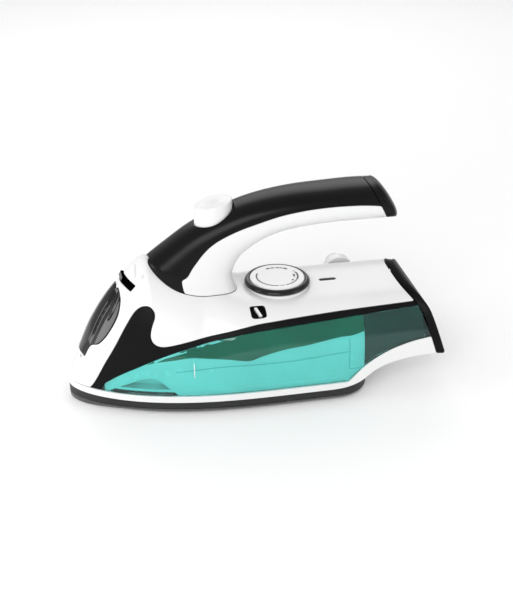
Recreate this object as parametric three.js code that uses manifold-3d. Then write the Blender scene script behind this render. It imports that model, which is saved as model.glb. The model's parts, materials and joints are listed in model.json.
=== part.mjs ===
// Travel steam iron: a boat-shaped body on a soleplate, a translucent water tank, a one-armed handle, and the
// parts inside that heat, meter and pump the water. Millimetres, +Z up.
//
// Everything is built in body coordinates: u runs from the nose tip to the heel, y across, z up from the table
// that the soleplate rests on. The last lines move the whole iron so that its origin is the middle of the body.

import * as THREE from "three";
import { mergeVertices } from "three/addons/utils/BufferGeometryUtils.js";
import Module from "manifold-3d";

const wasm = await Module();
wasm.setup();

// ---------------------------------------------------------------- driving dimensions

// Overall form
const length = 209; // nose tip to heel
const halfWidth = 39; // widest half width of the body
const deckHeight = 57; // flat rear deck above the table
const handleTop = 116; // top of the grip above the table
const rearTaper = 1.5; // how much narrower each side is at the heel
const heelSlope = 0.33; // forward lean of the heel face, mm per mm of height
const heelBottom = 23; // lowest point of the heel

// Walls and gaps
const wall = 2; // body shells
const handleWall = 2.2;
const gap = 0.3; // between pieces that touch
const slide = 0.4; // round a piece that slides
const tankInset = 8; // outer face of the tank to the side wall of its floor

// Stack of plates at the bottom
const soleThickness = 3;
const soleBevel = 2.8; // how far the sole's rim leans in at its underside
const soleInset = 1.2; // sole rim inside the body's outline
const soleEnd = 170; // rear end of the sole, from the nose
const soleCorner = 13; // radius of its two rear corners
const shieldTop = 7.7;
const shieldWidth = 3.1;
const rim = 12; // top of the skirt's lip
const lipBottom = 8;
const lipProud = 0.6;
const castingBase = 2.7; // thickness of the casting's rim
const chamberHeight = 5.4; // chamber wall above the casting's rim
const chamberWall = 2.4;
const chamberEnd = 104; // rear end of the steam chamber, from the nose
const elementRadius = 2.6;
const steamHoleRadius = 1.3;

// Controls on the deck
const dialStation = 120.3;
const dialRadius = 18.45;
const dialCapRadius = dialRadius - 3.1; // white cap inside the black rim
const dialBaseRadius = dialRadius - 0.85;
const dialHoleRadius = dialBaseRadius - 3.6; // in the deck, under the base
const dialRise = 4.5; // top of the cap above the deck
const spindleRadius = 2.5;
const pilotStation = 149.4;
const pilotLength = 9.4;
const pilotWidth = 2.6;
const switchStation = 104.3;
const switchAcross = -24.6; // y of its centre
const switchSide = 8;
const sliderTravel = 1.5; // each way

// Steam button and pump
const buttonStation = 84.7;
const buttonHalfLength = 10.7; // at its base
const buttonHalfWidth = 9;
const buttonDraft = 1.2; // how much smaller its top is all round
const buttonTilt = 0.2; // rise of its top toward the rear, mm per mm
const buttonRise = 6.5; // middle of its top above the grip
const buttonTravel = 4;
const pumpRadius = 5.6;
const pumpBore = 3.9;
const pistonRadius = 3.5;
const pumpLength = 16;
const hoseRadius = 1.9;

// Steam selector
const slotStation = 33.4; // on the nose ridge
const slotSlope = 27; // degrees the slot's plane dips toward the rear
const slotHeight = 4.3;
const slotHalfWidth = 11.6;
const leverArm = 12; // ridge to pivot
const leverSwing = 24; // degrees each way
const rodRadius = 1.6;

// Fill cover
const coverProud = 0.5;
const coverDepth = 1.7; // below the body's surface
const pinRadius = 0.8;
const knuckleRadius = 1.8;
const knuckleHalfWidth = 4.2;
const spoutRadius = 5.2;
const spoutBore = 4.1;
const sealThickness = 2.6;

// Cord inlet
const glandStation = 165;
const glandHeight = 45.8;
const glandRadius = 6.3;
const glandNeck = 4.9;
const glandBore = 3.3;
const glandLength = 12; // outside the body
const bossRadius = 8.6;

// ---------------------------------------------------------------- form of the body

// The form's curves are drawn on a standard body of this length, width, deck height and handle height.
const STANDARD = { length: 209, halfWidth: 39, deck: 57, top: 116 };

// A standard station, stretched to this iron's length.
const along = (u) => (u * length) / STANDARD.length;

// A standard height, stretched between the rim and the deck, and again between the deck and the handle's top.
function up(z) {
  if (z <= rim) return z;
  if (z <= STANDARD.deck) return rim + ((z - rim) * (deckHeight - rim)) / (STANDARD.deck - rim);
  return deckHeight + ((z - STANDARD.deck) * (handleTop - deckHeight)) / (STANDARD.top - STANDARD.deck);
}

const acrossBody = (y) => (y * halfWidth) / STANDARD.halfWidth;
const clamp = (x, low, high) => Math.min(Math.max(x, low), high);
const placed = (points) => points.map(([u, z]) => [along(u), up(z)]);
const spread = (points) => points.map(([u, value]) => [along(u), value]);

// A smooth curve through [x, y] points that never overshoots them.
function smooth(points) {
  const step = points.slice(1).map((p, i) => p[0] - points[i][0]);
  const slope = points.slice(1).map((p, i) => (p[1] - points[i][1]) / step[i]);
  const tangent = points.map((p, i) => {
    if (i === 0) return slope[0];
    if (i === points.length - 1) return slope[i - 1];
    if (slope[i - 1] * slope[i] <= 0) return 0;
    const before = 2 * step[i] + step[i - 1];
    const after = step[i] + 2 * step[i - 1];
    return (before + after) / (before / slope[i - 1] + after / slope[i]);
  });
  return (x) => {
    const at = clamp(x, points[0][0], points[points.length - 1][0]);
    let i = 0;
    while (i < points.length - 2 && at > points[i + 1][0]) i++;
    const t = (at - points[i][0]) / step[i];
    return (
      (2 * t ** 3 - 3 * t ** 2 + 1) * points[i][1] +
      (t ** 3 - 2 * t ** 2 + t) * step[i] * tangent[i] +
      (-2 * t ** 3 + 3 * t ** 2) * points[i + 1][1] +
      (t ** 3 - t ** 2) * step[i] * tangent[i + 1]
    );
  };
}

// Half width at the rim: a pointed arch up to the shoulder, then a slight taper to the heel.
const shoulder = along(115);
function widthAt(u) {
  const front = clamp(1 - u / shoulder, 0, 1);
  const rear = clamp((u - shoulder) / (length - shoulder), 0, 1);
  return halfWidth * (1 - front ** 2.6) ** (2 / 3) - rearTaper * rear ** 2;
}

// Height of the body's crest: up the nose to the handle's foot, then down to the flat deck.
const crestAt = smooth(
  placed([
    [0, 11],
    [1.7, 14],
    [7.6, 27],
    [16.2, 46.3],
    [28.7, 65],
    [46.6, 82.5],
    [48, 81.8],
    [72, 70.5],
    [96.7, 59.3],
    [106, 57.5],
    [210, 57],
  ]),
);

// Exponents of the cross-section |y/w|^side + |z/h|^top = 1: a ridge at the nose, a rounded box at the rear.
const sideBend = smooth(spread([[0, 1.7], [16, 1.6], [46, 1.5], [72, 1.6], [100, 3.0], [115, 3.5], [210, 3.5]]));
const topBend = smooth(spread([[0, 2.2], [16, 2.2], [46, 2.0], [72, 2.2], [100, 3.2], [115, 3.5], [210, 3.5]]));

const slopeOf = (f, u) => (f(u + 0.05) - f(u - 0.05)) / 0.1;

// Width and crest of the surface moved inward by inset, measured square to the surface.
const insetWidth = (u, inset) => widthAt(u) - inset * Math.hypot(1, slopeOf(widthAt, u));
const insetCrest = (u, inset) => crestAt(u) - inset * Math.hypot(1, slopeOf(crestAt, u));

function heightAt(u, y) {
  const side = clamp(Math.abs(y) / widthAt(u), 0, 1) ** sideBend(u);
  return rim + (crestAt(u) - rim) * (1 - side) ** (1 / topBend(u));
}

// ---------------------------------------------------------------- solids

// A closed BufferGeometry as a solid, turned outward if it was inside out.
function solidOf(geometry) {
  const g = geometry.index ? geometry.toNonIndexed() : geometry.clone();
  g.deleteAttribute("normal");
  g.deleteAttribute("uv");
  const merged = mergeVertices(g, 1e-4);
  const vertProperties = merged.attributes.position.array;
  const triVerts = new Uint32Array(merged.index.array);
  const made = new wasm.Manifold(new wasm.Mesh({ numProp: 3, vertProperties, triVerts }));
  if (made.volume() > 0) return made;
  for (let i = 0; i < triVerts.length; i += 3) {
    [triVerts[i + 1], triVerts[i + 2]] = [triVerts[i + 2], triVerts[i + 1]];
  }
  return new wasm.Manifold(new wasm.Mesh({ numProp: 3, vertProperties, triVerts }));
}

function geometryOf(solid) {
  const { vertProperties, triVerts } = solid.getMesh();
  const g = new THREE.BufferGeometry();
  g.setAttribute("position", new THREE.BufferAttribute(new Float32Array(vertProperties), 3));
  g.setIndex(new THREE.BufferAttribute(new Uint32Array(triVerts), 1));
  g.computeVertexNormals();
  return g;
}

const join = (first, ...others) => others.reduce((a, b) => a.add(b), first);
const cut = (first, ...others) => others.reduce((a, b) => a.subtract(b), first);

// A solid through rings of points, one ring per station, closed by a fan at each end.
function loft(rings) {
  const count = rings[0].length;
  const positions = [];
  const triangle = (a, b, c) => positions.push(...a, ...b, ...c);
  for (let i = 0; i + 1 < rings.length; i++) {
    for (let j = 0; j < count; j++) {
      const k = (j + 1) % count;
      triangle(rings[i][j], rings[i][k], rings[i + 1][k]);
      triangle(rings[i][j], rings[i + 1][k], rings[i + 1][j]);
    }
  }
  const last = rings[rings.length - 1];
  for (let j = 1; j + 1 < count; j++) {
    triangle(rings[0][0], rings[0][j + 1], rings[0][j]);
    triangle(last[0], last[j], last[j + 1]);
  }
  const g = new THREE.BufferGeometry();
  g.setAttribute("position", new THREE.Float32BufferAttribute(positions, 3));
  return solidOf(g);
}

const shapeOf = (points) => new THREE.Shape(points.map(([x, y]) => new THREE.Vector2(x, y)));

// A plan outline [u, y] raised from one height to another.
function raised(points, bottom, top) {
  const g = new THREE.ExtrudeGeometry(shapeOf(points), { depth: top - bottom, bevelEnabled: false });
  return solidOf(g.translate(0, 0, bottom));
}

// A side outline [u, z] carried across the body from one y to another.
function across(points, from = -100, to = 100) {
  const g = new THREE.ExtrudeGeometry(shapeOf(points), { depth: to - from, bevelEnabled: false });
  return solidOf(g.rotateX(Math.PI / 2).translate(0, to, 0));
}

// A closed outline moved outward by distance, or inward when it is negative.
function grown(points, distance) {
  const area = points.reduce((sum, p, i) => {
    const q = points[(i + 1) % points.length];
    return sum + p[0] * q[1] - q[0] * p[1];
  }, 0);
  const turn = Math.sign(area);
  return points.map((p, i) => {
    const a = points[(i + points.length - 1) % points.length];
    const b = points[(i + 1) % points.length];
    const before = new THREE.Vector2(p[1] - a[1], a[0] - p[0]).normalize();
    const after = new THREE.Vector2(b[1] - p[1], p[0] - b[0]).normalize();
    const out = before.clone().add(after).normalize();
    const reach = (turn * distance) / Math.max(out.dot(after), 0.4);
    return [p[0] + out.x * reach, p[1] + out.y * reach];
  });
}

// A cylinder from one point toward another direction.
function rod(radius, start, direction, reach, sides = 20, endRadius = radius) {
  const axis = new THREE.Vector3(...direction).normalize();
  const g = new THREE.CylinderGeometry(endRadius, radius, reach, sides);
  g.translate(0, reach / 2, 0);
  g.applyQuaternion(new THREE.Quaternion().setFromUnitVectors(new THREE.Vector3(0, 1, 0), axis));
  return solidOf(g.translate(...start));
}

const upright = (radius, u, y, bottom, top, sides = 20) =>
  rod(radius, [u, y, bottom], [0, 0, 1], top - bottom, sides);

// A profile of [radius, height] points turned about the upright axis.
function turned(profile, sides = 28) {
  const points = profile.map(([r, z]) => new THREE.Vector2(r, z));
  return solidOf(new THREE.LatheGeometry(points, sides).rotateX(Math.PI / 2));
}

// A box by its middle, its size and its turns about Y, then X, in degrees.
function block(middle, size, aboutY = 0, aboutX = 0) {
  const g = new THREE.BoxGeometry(...size);
  g.rotateY(THREE.MathUtils.degToRad(aboutY)).rotateX(THREE.MathUtils.degToRad(aboutX));
  return solidOf(g.translate(...middle));
}

// A round bar along a curve.
function bar(curve, radius, steps, sides = 8) {
  const section = new THREE.Shape().absarc(0, 0, radius, 0, 2 * Math.PI);
  const points = section.getSpacedPoints(sides).slice(0, sides);
  const g = new THREE.ExtrudeGeometry(new THREE.Shape(points), { steps, extrudePath: curve, bevelEnabled: false });
  return solidOf(g);
}

const bent = (points) => new THREE.CatmullRomCurve3(points.map((p) => new THREE.Vector3(...p)));

class Helix extends THREE.Curve {
  constructor(radius, u, bottom, top, turns) {
    super();
    Object.assign(this, { radius, u, bottom, top, turns });
  }
  getPoint(t) {
    const angle = 2 * Math.PI * this.turns * t;
    const z = this.bottom + (this.top - this.bottom) * t;
    return new THREE.Vector3(this.u + this.radius * Math.cos(angle), this.radius * Math.sin(angle), z);
  }
}

const coil = (radius, wire, u, bottom, top, turns) =>
  bar(new Helix(radius, u, bottom + wire, top - wire, turns), wire, turns * 9, 5);

// ---------------------------------------------------------------- body surfaces

const noseStations = [0.9, 3, 6, 10, 15, 21, 28, 37, 46.6, 50];
const rearStations = [58, 66, 75, 85, 93, 100, 107, 115, 135, 160, 185, 216];
const stations = [...noseStations, ...rearStations].map(along);
const ringSteps = 18;

// The body's volume, its surface moved inward by inset, reaching down to floor.
function bodyVolume(inset = 0, floor = rim) {
  const rings = [];
  for (const u of stations) {
    const w = insetWidth(u, inset);
    const h = insetCrest(u, inset) - rim;
    if (w < 1 || h < 0.4) continue;
    const ring = [];
    for (let i = 0; i <= ringSteps; i++) {
      const angle = (Math.PI * i) / ringSteps;
      const side = Math.cos(angle);
      const y = w * Math.sign(side) * Math.abs(side) ** (2 / sideBend(u));
      ring.push([u, y, rim + h * Math.abs(Math.sin(angle)) ** (2 / topBend(u))]);
    }
    if (floor < rim) ring.push([u, -w, floor], [u, w, floor]);
    rings.push(ring);
  }
  return loft(rings);
}

const outer = bodyVolume();
const inner = bodyVolume(wall, -20);
const shell = cut(outer, inner);
const inside = bodyVolume(wall + gap, -20); // what may stand inside the shells

// Plan outline of a plate that follows the body's rim, moved inward by inset, with round rear corners.
function plateOutline(inset, end, corner) {
  const roundingAt = (u) => {
    const past = clamp(u - (end - corner), 0, corner);
    return corner - Math.sqrt(Math.max(corner ** 2 - past ** 2, 0));
  };
  const side = [];
  const steps = 15;
  for (let i = 1; i <= steps; i++) {
    const u = (end - corner) * (i / steps) ** 1.7;
    const lean = slopeOf(widthAt, u);
    const square = Math.hypot(1, lean);
    side.push([u + (inset * lean) / square, widthAt(u) - inset / square]);
  }
  for (let i = 1; i <= 5; i++) {
    const u = end - corner + corner * Math.sin((i * Math.PI) / 10);
    side.push([u, widthAt(end - corner) - inset - roundingAt(u)]);
  }
  const kept = side.filter(([, y]) => y > 0.5);
  return [...kept, ...kept.toReversed().map(([u, y]) => [u, -y])];
}

// ---------------------------------------------------------------- seams between the shells, drawn from the side

// Front faces of the rear cover: its seam with the other shells, and the heel.
const heelAt = (z) => length - heelSlope * (z - heelBottom);
const bandAt = (z) => along(203.8) - (heelSlope + 0.03) * (z - heelBottom);

// White top shell over the black side trim, from the rim at the nose, round the front panel, back to the heel.
const trimTop = placed([
  [11.4, 12],
  [12.8, 14.6],
  [22.1, 33.2],
  [32.1, 50.4],
  [37.9, 59],
  [43.6, 61.4],
  [47.6, 60],
  [48.4, 57.6],
  [46.6, 52],
  [45, 46.8],
  [47.4, 42],
  [51.7, 40.6],
  [57.1, 41.3],
  [81.9, 46.2],
  [104, 49.7],
  [141.7, 51.7],
]);
trimTop.push([bandAt(up(52.6)), up(52.6)]);

// Black side trim over the tank, from the tank's front tip to the heel.
const tankTop = placed([
  [17, 12],
  [19.3, 16.4],
  [34.5, 27.3],
  [52.2, 35.7],
  [81.6, 43.4],
  [103.4, 46.5],
  [149.8, 49.1],
]);
tankTop.push([bandAt(up(50.8)), up(50.8)]);

// Tank over the white skirt.
const skirtTop = placed([
  [152.6, 12],
  [162.9, 21.5],
  [175.1, 28.5],
  [188.3, 32.5],
]);
skirtTop.push([bandAt(up(34.2)), up(34.2)]);

// Underside of the skirt behind the soleplate, up to the heel.
const underside = [
  [along(161.5), lipBottom],
  [along(162.8), up(12.6)],
  [along(166.6), up(16)],
  [along(175.4), up(20.3)],
  [along(188.7), heelBottom],
];

// Height of a seam above a station.
function seamAt(seam, u) {
  const i = clamp(seam.findIndex((p) => p[0] > u), 1, seam.length - 1);
  const [a, b] = [seam[i - 1], seam[i]];
  return a[1] + ((b[1] - a[1]) * (u - a[0])) / (b[0] - a[0]);
}

// Limits well outside the iron, for regions that are open on that side.
const front = -60;
const far = length + 60;
const low = -60;
const high = 300;
const belowSkirt = [[front, low], [underside[0][0], low]];
const aboveUnderside = [...belowSkirt, ...underside, [far, heelBottom], [far, high], [front, high]];
const trimRegion = [...trimTop, ...tankTop.toReversed()];
const tankRegion = [...tankTop, ...skirtTop.toReversed()];
const topRegion = [[front, rim], ...trimTop, [bandAt(high), high], [front, high]];
const skirtRegion = [
  [front, lipBottom],
  [front, rim],
  ...skirtTop,
  [bandAt(heelBottom), heelBottom],
  ...underside.toReversed(),
];
const rearRegion = [[bandAt(low), low], [bandAt(high), high], [far, high], [far, low]];
const beforeHeel = (depth) => [[front, low], [heelAt(low) - depth, low], [heelAt(high) - depth, high], [front, high]];
const seamed = (region) => across(grown(region, -gap / 2));

// ---------------------------------------------------------------- handle

// Crest, keel and half width of the handle at nine even steps from its foot to its end.
const handleCrest = placed([
  [46.6, 82.5],
  [57, 87.3],
  [72, 97.6],
  [93.5, 107.4],
  [110, 111.9],
  [128.5, 114.4],
  [147, 115.4],
  [162, 115.9],
  [173, 115.6],
]);
const handleKeel = placed([
  [96.7, 59.2],
  [94.2, 68],
  [97.8, 78],
  [107, 86],
  [118.5, 91.4],
  [132, 94.1],
  [149, 95.4],
  [168, 95.4],
  [185.5, 95.2],
]);
const handleHalf = [15.5, 14.6, 14.0, 14.2, 14.8, 15.4, 15.8, 15.8, 15.2];
const footCrest = placed([[50.5, 68.5]])[0]; // bottom of the foot, inside the body
const footKeel = placed([[98, 45.8]])[0];
const footHalf = 16.6;
const handleBend = 2.5; // exponent of its cross-section
const domeReach = 3.5; // how far the grip's end bulges
const footDepth = 0.12; // of the handle's run, the part sunk in the body

const crestCurve = new THREE.SplineCurve(handleCrest.map((p) => new THREE.Vector2(...p)));
const keelCurve = new THREE.SplineCurve(handleKeel.map((p) => new THREE.Vector2(...p)));
const halfCurve = new THREE.SplineCurve(handleHalf.map((h, i) => new THREE.Vector2(i, h)));

// Middle, half height vector and half width of the section at t: 0 at the foot, 1 at the end.
function handleSection(t) {
  const sunk = clamp(-t / footDepth, 0, 1);
  const at = Math.max(t, 0);
  const top = crestCurve.getPoint(at).lerp(new THREE.Vector2(...footCrest), sunk);
  const keel = keelCurve.getPoint(at).lerp(new THREE.Vector2(...footKeel), sunk);
  const half = halfCurve.getPoint(at).y * (1 - sunk) + footHalf * sunk;
  return { middle: top.clone().add(keel).multiplyScalar(0.5), rise: top.clone().sub(keel).multiplyScalar(0.5), half };
}

// The point of that section at an angle: 90 degrees on the crest, 0 on the far side.
function handlePoint({ middle, rise, half }, degrees, inset = 0, scale = 1) {
  const angle = THREE.MathUtils.degToRad(degrees);
  const power = 2 / handleBend;
  const over = Math.sign(Math.sin(angle)) * Math.abs(Math.sin(angle)) ** power * scale;
  const out = Math.sign(Math.cos(angle)) * Math.abs(Math.cos(angle)) ** power * scale;
  const reach = Math.max(rise.length() - inset, 0.5) / rise.length();
  return [middle.x + rise.x * over * reach, (half - inset) * out, middle.y + rise.y * over * reach];
}

const handleSteps = [-0.04, 0, 0.06, 0.125, 0.19, 0.25, 0.31, 0.375, 0.45, 0.53, 0.62, 0.72, 0.82, 0.91];

function handleVolume(inset, from, to, domed) {
  const angles = Array.from({ length: 18 }, (_, i) => i * 20);
  const between = handleSteps.filter((t) => t > from && t < to);
  const rings = [from, ...between, to].map((t) => angles.map((a) => handlePoint(handleSection(t), a, inset)));
  if (domed) {
    const end = handleSection(to);
    const out = new THREE.Vector2(end.rise.y, -end.rise.x).normalize();
    for (const [share, scale] of [[0.55, 0.86], [0.9, 0.6], [1, 0.3]]) {
      const middle = end.middle.clone().addScaledVector(out, domeReach * share);
      rings.push(angles.map((a) => handlePoint({ ...end, middle }, a, inset, scale)));
    }
  }
  return loft(rings);
}

const handleSolid = handleVolume(0, -footDepth, 1, true);
const handleHollow = handleVolume(handleWall, -footDepth + 0.03, 0.96, false);
const handleShell = cut(handleSolid, handleHollow);

// The seam between the white lower half and the black upper half, as the angle round the section.
const splitAngle = smooth([
  [-0.13, 24],
  [0, 20],
  [0.13, 15],
  [0.27, 13],
  [0.45, 6],
  [0.59, 9],
  [0.72, 11],
  [0.85, 8],
  [0.945, 2],
  [1, -4],
]);
const splitPoint = (t, angle = splitAngle(t)) => {
  const [u, , z] = handlePoint(handleSection(t), angle);
  return [u, z];
};
const splitEnd = 0.95; // the black half wraps the grip behind this
const splitSteps = [-0.12, -0.06, 0, 0.07, 0.13, 0.2, 0.27, 0.36, 0.45, 0.55, 0.65, 0.75, 0.85, splitEnd];
const splitSeam = splitSteps.map((t) => splitPoint(t));
const endTop = splitPoint(splitEnd, -28);
const endKeel = splitPoint(splitEnd, -90);
const sunkSeam = [splitSeam[0][0] + 3, splitSeam[0][1] - 30];
const underEnd = [endKeel[0], endKeel[1] - 20];
const upperRegion = [
  sunkSeam,
  ...splitSeam,
  endTop,
  underEnd,
  [far, underEnd[1]],
  [far, high],
  [front, high],
  [front, sunkSeam[1]],
];
const lowerRegion = [sunkSeam, ...splitSeam, endTop, underEnd, [endKeel[0], low]];

// ---------------------------------------------------------------- materials and placing

const finish = (color, roughness, metalness) =>
  new THREE.MeshStandardMaterial({ color, roughness, metalness, flatShading: true });
const plastic = (color, roughness) => finish(color, roughness, 0);
const metal = (color, roughness) => finish(color, roughness, 1);
const WHITE = 0xf3f3f1;
const BLACK = 0x1b1b1d;
const TEAL = 0x1aa394;
const STEEL = 0xb9bcc0;

const iron = new THREE.Group();

function group(name) {
  const made = new THREE.Group();
  made.name = name;
  iron.add(made);
  return made;
}

function place(parent, name, solid, material) {
  const mesh = new THREE.Mesh(geometryOf(solid), material);
  mesh.name = name;
  parent.add(mesh);
  return mesh;
}

// ---------------------------------------------------------------- sole, shield and casting

const heating = group("heating");
const plateEnd = along(soleEnd);
const castingBottom = soleThickness + gap;
const castingTop = castingBottom + castingBase;
const chamberTop = castingTop + chamberHeight;
const castingInset = soleInset + shieldWidth + gap;
const castingEnd = along(157);
const chamberInset = castingInset + 2 * elementRadius + 3.2;
const chamberOutline = plateOutline(chamberInset, along(chamberEnd), 6);
const chamberRoom = plateOutline(chamberInset + chamberWall, along(chamberEnd) - chamberWall, 4);
const gasketThickness = 0.6;
const dialU = along(dialStation);
const rodU = along(slotStation) + leverArm * Math.cos(THREE.MathUtils.degToRad(slotSlope));

const steamHoles = [];
for (const [station, out] of [[24, 0], [40, 9], [58, 14], [76, 17], [94, 19]]) {
  const sides = out ? [-out, out] : [0];
  for (const y of sides) steamHoles.push([along(station), acrossBody(y)]);
}
const drilled = (solid) => cut(solid, ...steamHoles.map(([u, y]) => upright(steamHoleRadius, u, y, low, 40, 8)));

function soleplate() {
  const ring = (inset, z) => plateOutline(inset, plateEnd, soleCorner).map(([u, y]) => [u, y, z]);
  const edge = 0.6; // upright part of the rim
  const underside = ring(soleInset + soleBevel, 0);
  return drilled(loft([underside, ring(soleInset, soleThickness - edge), ring(soleInset, soleThickness)]));
}

function heatShield() {
  const outside = raised(plateOutline(soleInset, plateEnd, soleCorner), castingBottom, shieldTop);
  const hole = raised(plateOutline(soleInset + shieldWidth, castingEnd + gap, soleCorner), low, 40);
  return cut(outside, hole);
}

function heaterCasting() {
  const base = raised(plateOutline(castingInset, castingEnd, soleCorner), castingBottom, castingTop);
  const chamber = raised(chamberOutline, castingTop - 0.5, chamberTop);
  const pocket = raised(chamberRoom, castingTop - 1, 40);
  const boss = upright(7, dialU, 0, castingTop - 0.5, castingTop + 1.5);
  return drilled(cut(join(base, chamber, boss), pocket));
}

function chamberGasket() {
  const outside = raised(chamberOutline, chamberTop + gap, chamberTop + gap + gasketThickness);
  return cut(outside, raised(chamberRoom, low, 40));
}

const coverPlateBottom = chamberTop + gasketThickness + 2 * gap;
const coverPlateTop = coverPlateBottom + 0.8;

function chamberCover() {
  return cut(raised(chamberOutline, coverPlateBottom, coverPlateTop), upright(1.6, rodU, 0, low, 40, 12));
}

const elementU = castingEnd - 2.6; // its two ends, turned up as terminals
const elementAcross = halfWidth - 18;
const elementTop = castingTop + gap + elementRadius + 9;

// A U-shaped bar round the chamber.
function heatingElement() {
  const z = castingTop + gap + elementRadius;
  const line = plateOutline(castingInset + elementRadius + 1, castingEnd - 4, 4);
  const half = line.filter(([u, y]) => y > 5 && u < castingEnd - 16).map(([u, y]) => [u, y, z]);
  const bend = [castingEnd - 9, elementAcross + 5, z + 0.6];
  const right = [...half, bend, [elementU, elementAcross + 1, z + 4], [elementU, elementAcross, elementTop]];
  const left = right.toReversed().map(([u, y, h]) => [u, -y, h]);
  const nose = [Math.min(right[0][0] - 4.5, chamberOutline[0][0] - elementRadius - 2.5), 0, z];
  return bar(bent([...left, nose, ...right]), elementRadius, 52);
}

const thermostatBottom = castingTop + 1.5 + gap;
const spindleBottom = thermostatBottom + 13;

function thermostat() {
  const plate = block([dialU, 0, thermostatBottom + 0.75], [24, 9, 1.5]);
  const stack = upright(4.4, dialU, 0, thermostatBottom + 0.5, spindleBottom - gap, 16);
  const blade = block([dialU + 9, 0, thermostatBottom + 6], [22, 6, 0.8]);
  return join(plate, stack, blade);
}

place(heating, "soleplate", soleplate(), metal(0x3d3d40, 0.35));
place(heating, "heat_shield", heatShield(), plastic(0x161616, 0.6));
place(heating, "heater_casting", heaterCasting(), metal(0xa8abae, 0.55));
place(heating, "heating_element", heatingElement(), metal(0x8d8f92, 0.5));
place(heating, "chamber_gasket", chamberGasket(), plastic(0xc9713a, 0.8));
place(heating, "steam_chamber_cover", chamberCover(), metal(STEEL, 0.4));
place(heating, "thermostat", thermostat(), plastic(0xe6e0d2, 0.6));
const fuse = rod(2, [dialU + 14, -12, castingTop + gap + 2], [1, 0, 0], 14, 10);
place(heating, "thermal_fuse", fuse, plastic(0xd8d8d8, 0.5));

// ---------------------------------------------------------------- skirt, tank, trims, rear cover

const casing = group("casing");

function lowerSkirt() {
  const lip = raised(plateOutline(-lipProud, length, 2), lipBottom, rim);
  const hollow = inner.intersect(across(grown(aboveUnderside, -wall)));
  return cut(join(lip, outer), hollow).intersect(seamed(skirtRegion));
}

// The round boss that holds the cord gland, on the right-hand side only.
const glandU = along(glandStation);
const glandZ = up(glandHeight);
const bossOutline = Array.from({ length: 20 }, (_, i) => [
  glandU + bossRadius * Math.cos((i * Math.PI) / 10),
  glandZ + bossRadius * Math.sin((i * Math.PI) / 10),
]);
const bossRoom = across(grown(bossOutline, gap), 5, 100);
const glandHole = rod(glandNeck + gap, [glandU, 5, glandZ], [0, 1, 0], 100, 16);

const trim = shell.intersect(seamed(trimRegion));
const onSide = (side) => block([length / 2, side * 100, 50], [600, 199, 600]);
const trimLeft = trim.intersect(onSide(-1));
const boss = shell.intersect(across(bossOutline, 5, 100));
const trimRight = cut(join(trim.intersect(onSide(1)), boss), glandHole);

const heelScrewAcross = 16;
const heelScrewHeight = up(40);
const heelNormal = new THREE.Vector3(1, 0, heelSlope).normalize();
const heelScrews = [-1, 1].map((side) => ({
  name: side < 0 ? "heel_screw_left" : "heel_screw_right",
  seat: new THREE.Vector3(heelAt(heelScrewHeight), side * heelScrewAcross, heelScrewHeight),
}));
const heelThickness = 3.2;
const headRadius = 3;
const headDepth = 1.8;

function rearCover() {
  const body = outer.intersect(seamed(rearRegion)).intersect(across(beforeHeel(0)));
  const hollow = inner.intersect(across(beforeHeel(heelThickness))).intersect(across(grown(aboveUnderside, -wall)));
  let cover = cut(body.intersect(across(aboveUnderside)), hollow);
  for (const { seat } of heelScrews) {
    const inward = heelNormal.clone().negate();
    const start = seat.clone().addScaledVector(heelNormal, 2);
    cover = cut(cover, rod(headRadius + gap, start.toArray(), inward.toArray(), 2 + headDepth + gap, 14));
    cover = cut(cover, rod(1.4 + gap, start.toArray(), inward.toArray(), 20, 12));
  }
  return cover;
}

place(casing, "lower_skirt", lowerSkirt(), plastic(WHITE, 0.3));
place(casing, "side_trim_left", trimLeft, plastic(BLACK, 0.45));
place(casing, "side_trim_right", trimRight, plastic(BLACK, 0.45));
place(casing, "rear_cover", rearCover(), plastic(BLACK, 0.2));

for (const { name, seat } of heelScrews) {
  const inward = heelNormal.clone().negate().toArray();
  const head = rod(headRadius, seat.clone().addScaledVector(heelNormal, -0.2).toArray(), inward, headDepth - 0.2, 12);
  const shank = rod(1.4, seat.clone().addScaledVector(heelNormal, -1).toArray(), inward, 11, 10);
  place(casing, name, join(head, shank), metal(STEEL, 0.3));
}

// ---------------------------------------------------------------- inside of the tank

const tank = group("tank");
const lidThickness = 2;
const bulkheadU = castingEnd - 2 * elementRadius - 1.8;
const lidTopAt = (u) => seamAt(tankTop, u) - gap;
const baseEnd = bulkheadU - wall - gap;
const baseTop = [...placed([[24, 16.5], [32, 20], [60, 23.5], [88, 29.5]]), [baseEnd, up(29.5)]];
const baseBottom = coverPlateTop + gap;

// The fill spout runs from under the fill cover down into the tank.
const spoutRidge = along(18.5);
const spoutNormal = new THREE.Vector2(slopeOf(crestAt, spoutRidge), -1).normalize();
const spoutFoot = [along(35.2), 0, seamAt(tankTop, along(35.2))];
const spoutHead = [spoutRidge + 5 * spoutNormal.x, 0, crestAt(spoutRidge) + 5 * spoutNormal.y];
const spoutAxis = new THREE.Vector3(...spoutFoot).sub(new THREE.Vector3(...spoutHead)).normalize();
const alongSpout = (radius, before, reach, sides = 18) => {
  const start = new THREE.Vector3(...spoutHead).addScaledVector(spoutAxis, -before);
  return rod(radius, start.toArray(), spoutAxis.toArray(), reach, sides);
};
const spoutReach = new THREE.Vector3(...spoutFoot).distanceTo(new THREE.Vector3(...spoutHead));

// Where the pump's suction hose goes down through the lid.
const buttonU = along(buttonStation);
const hoseDrop = [buttonU - 2, 3];

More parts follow.
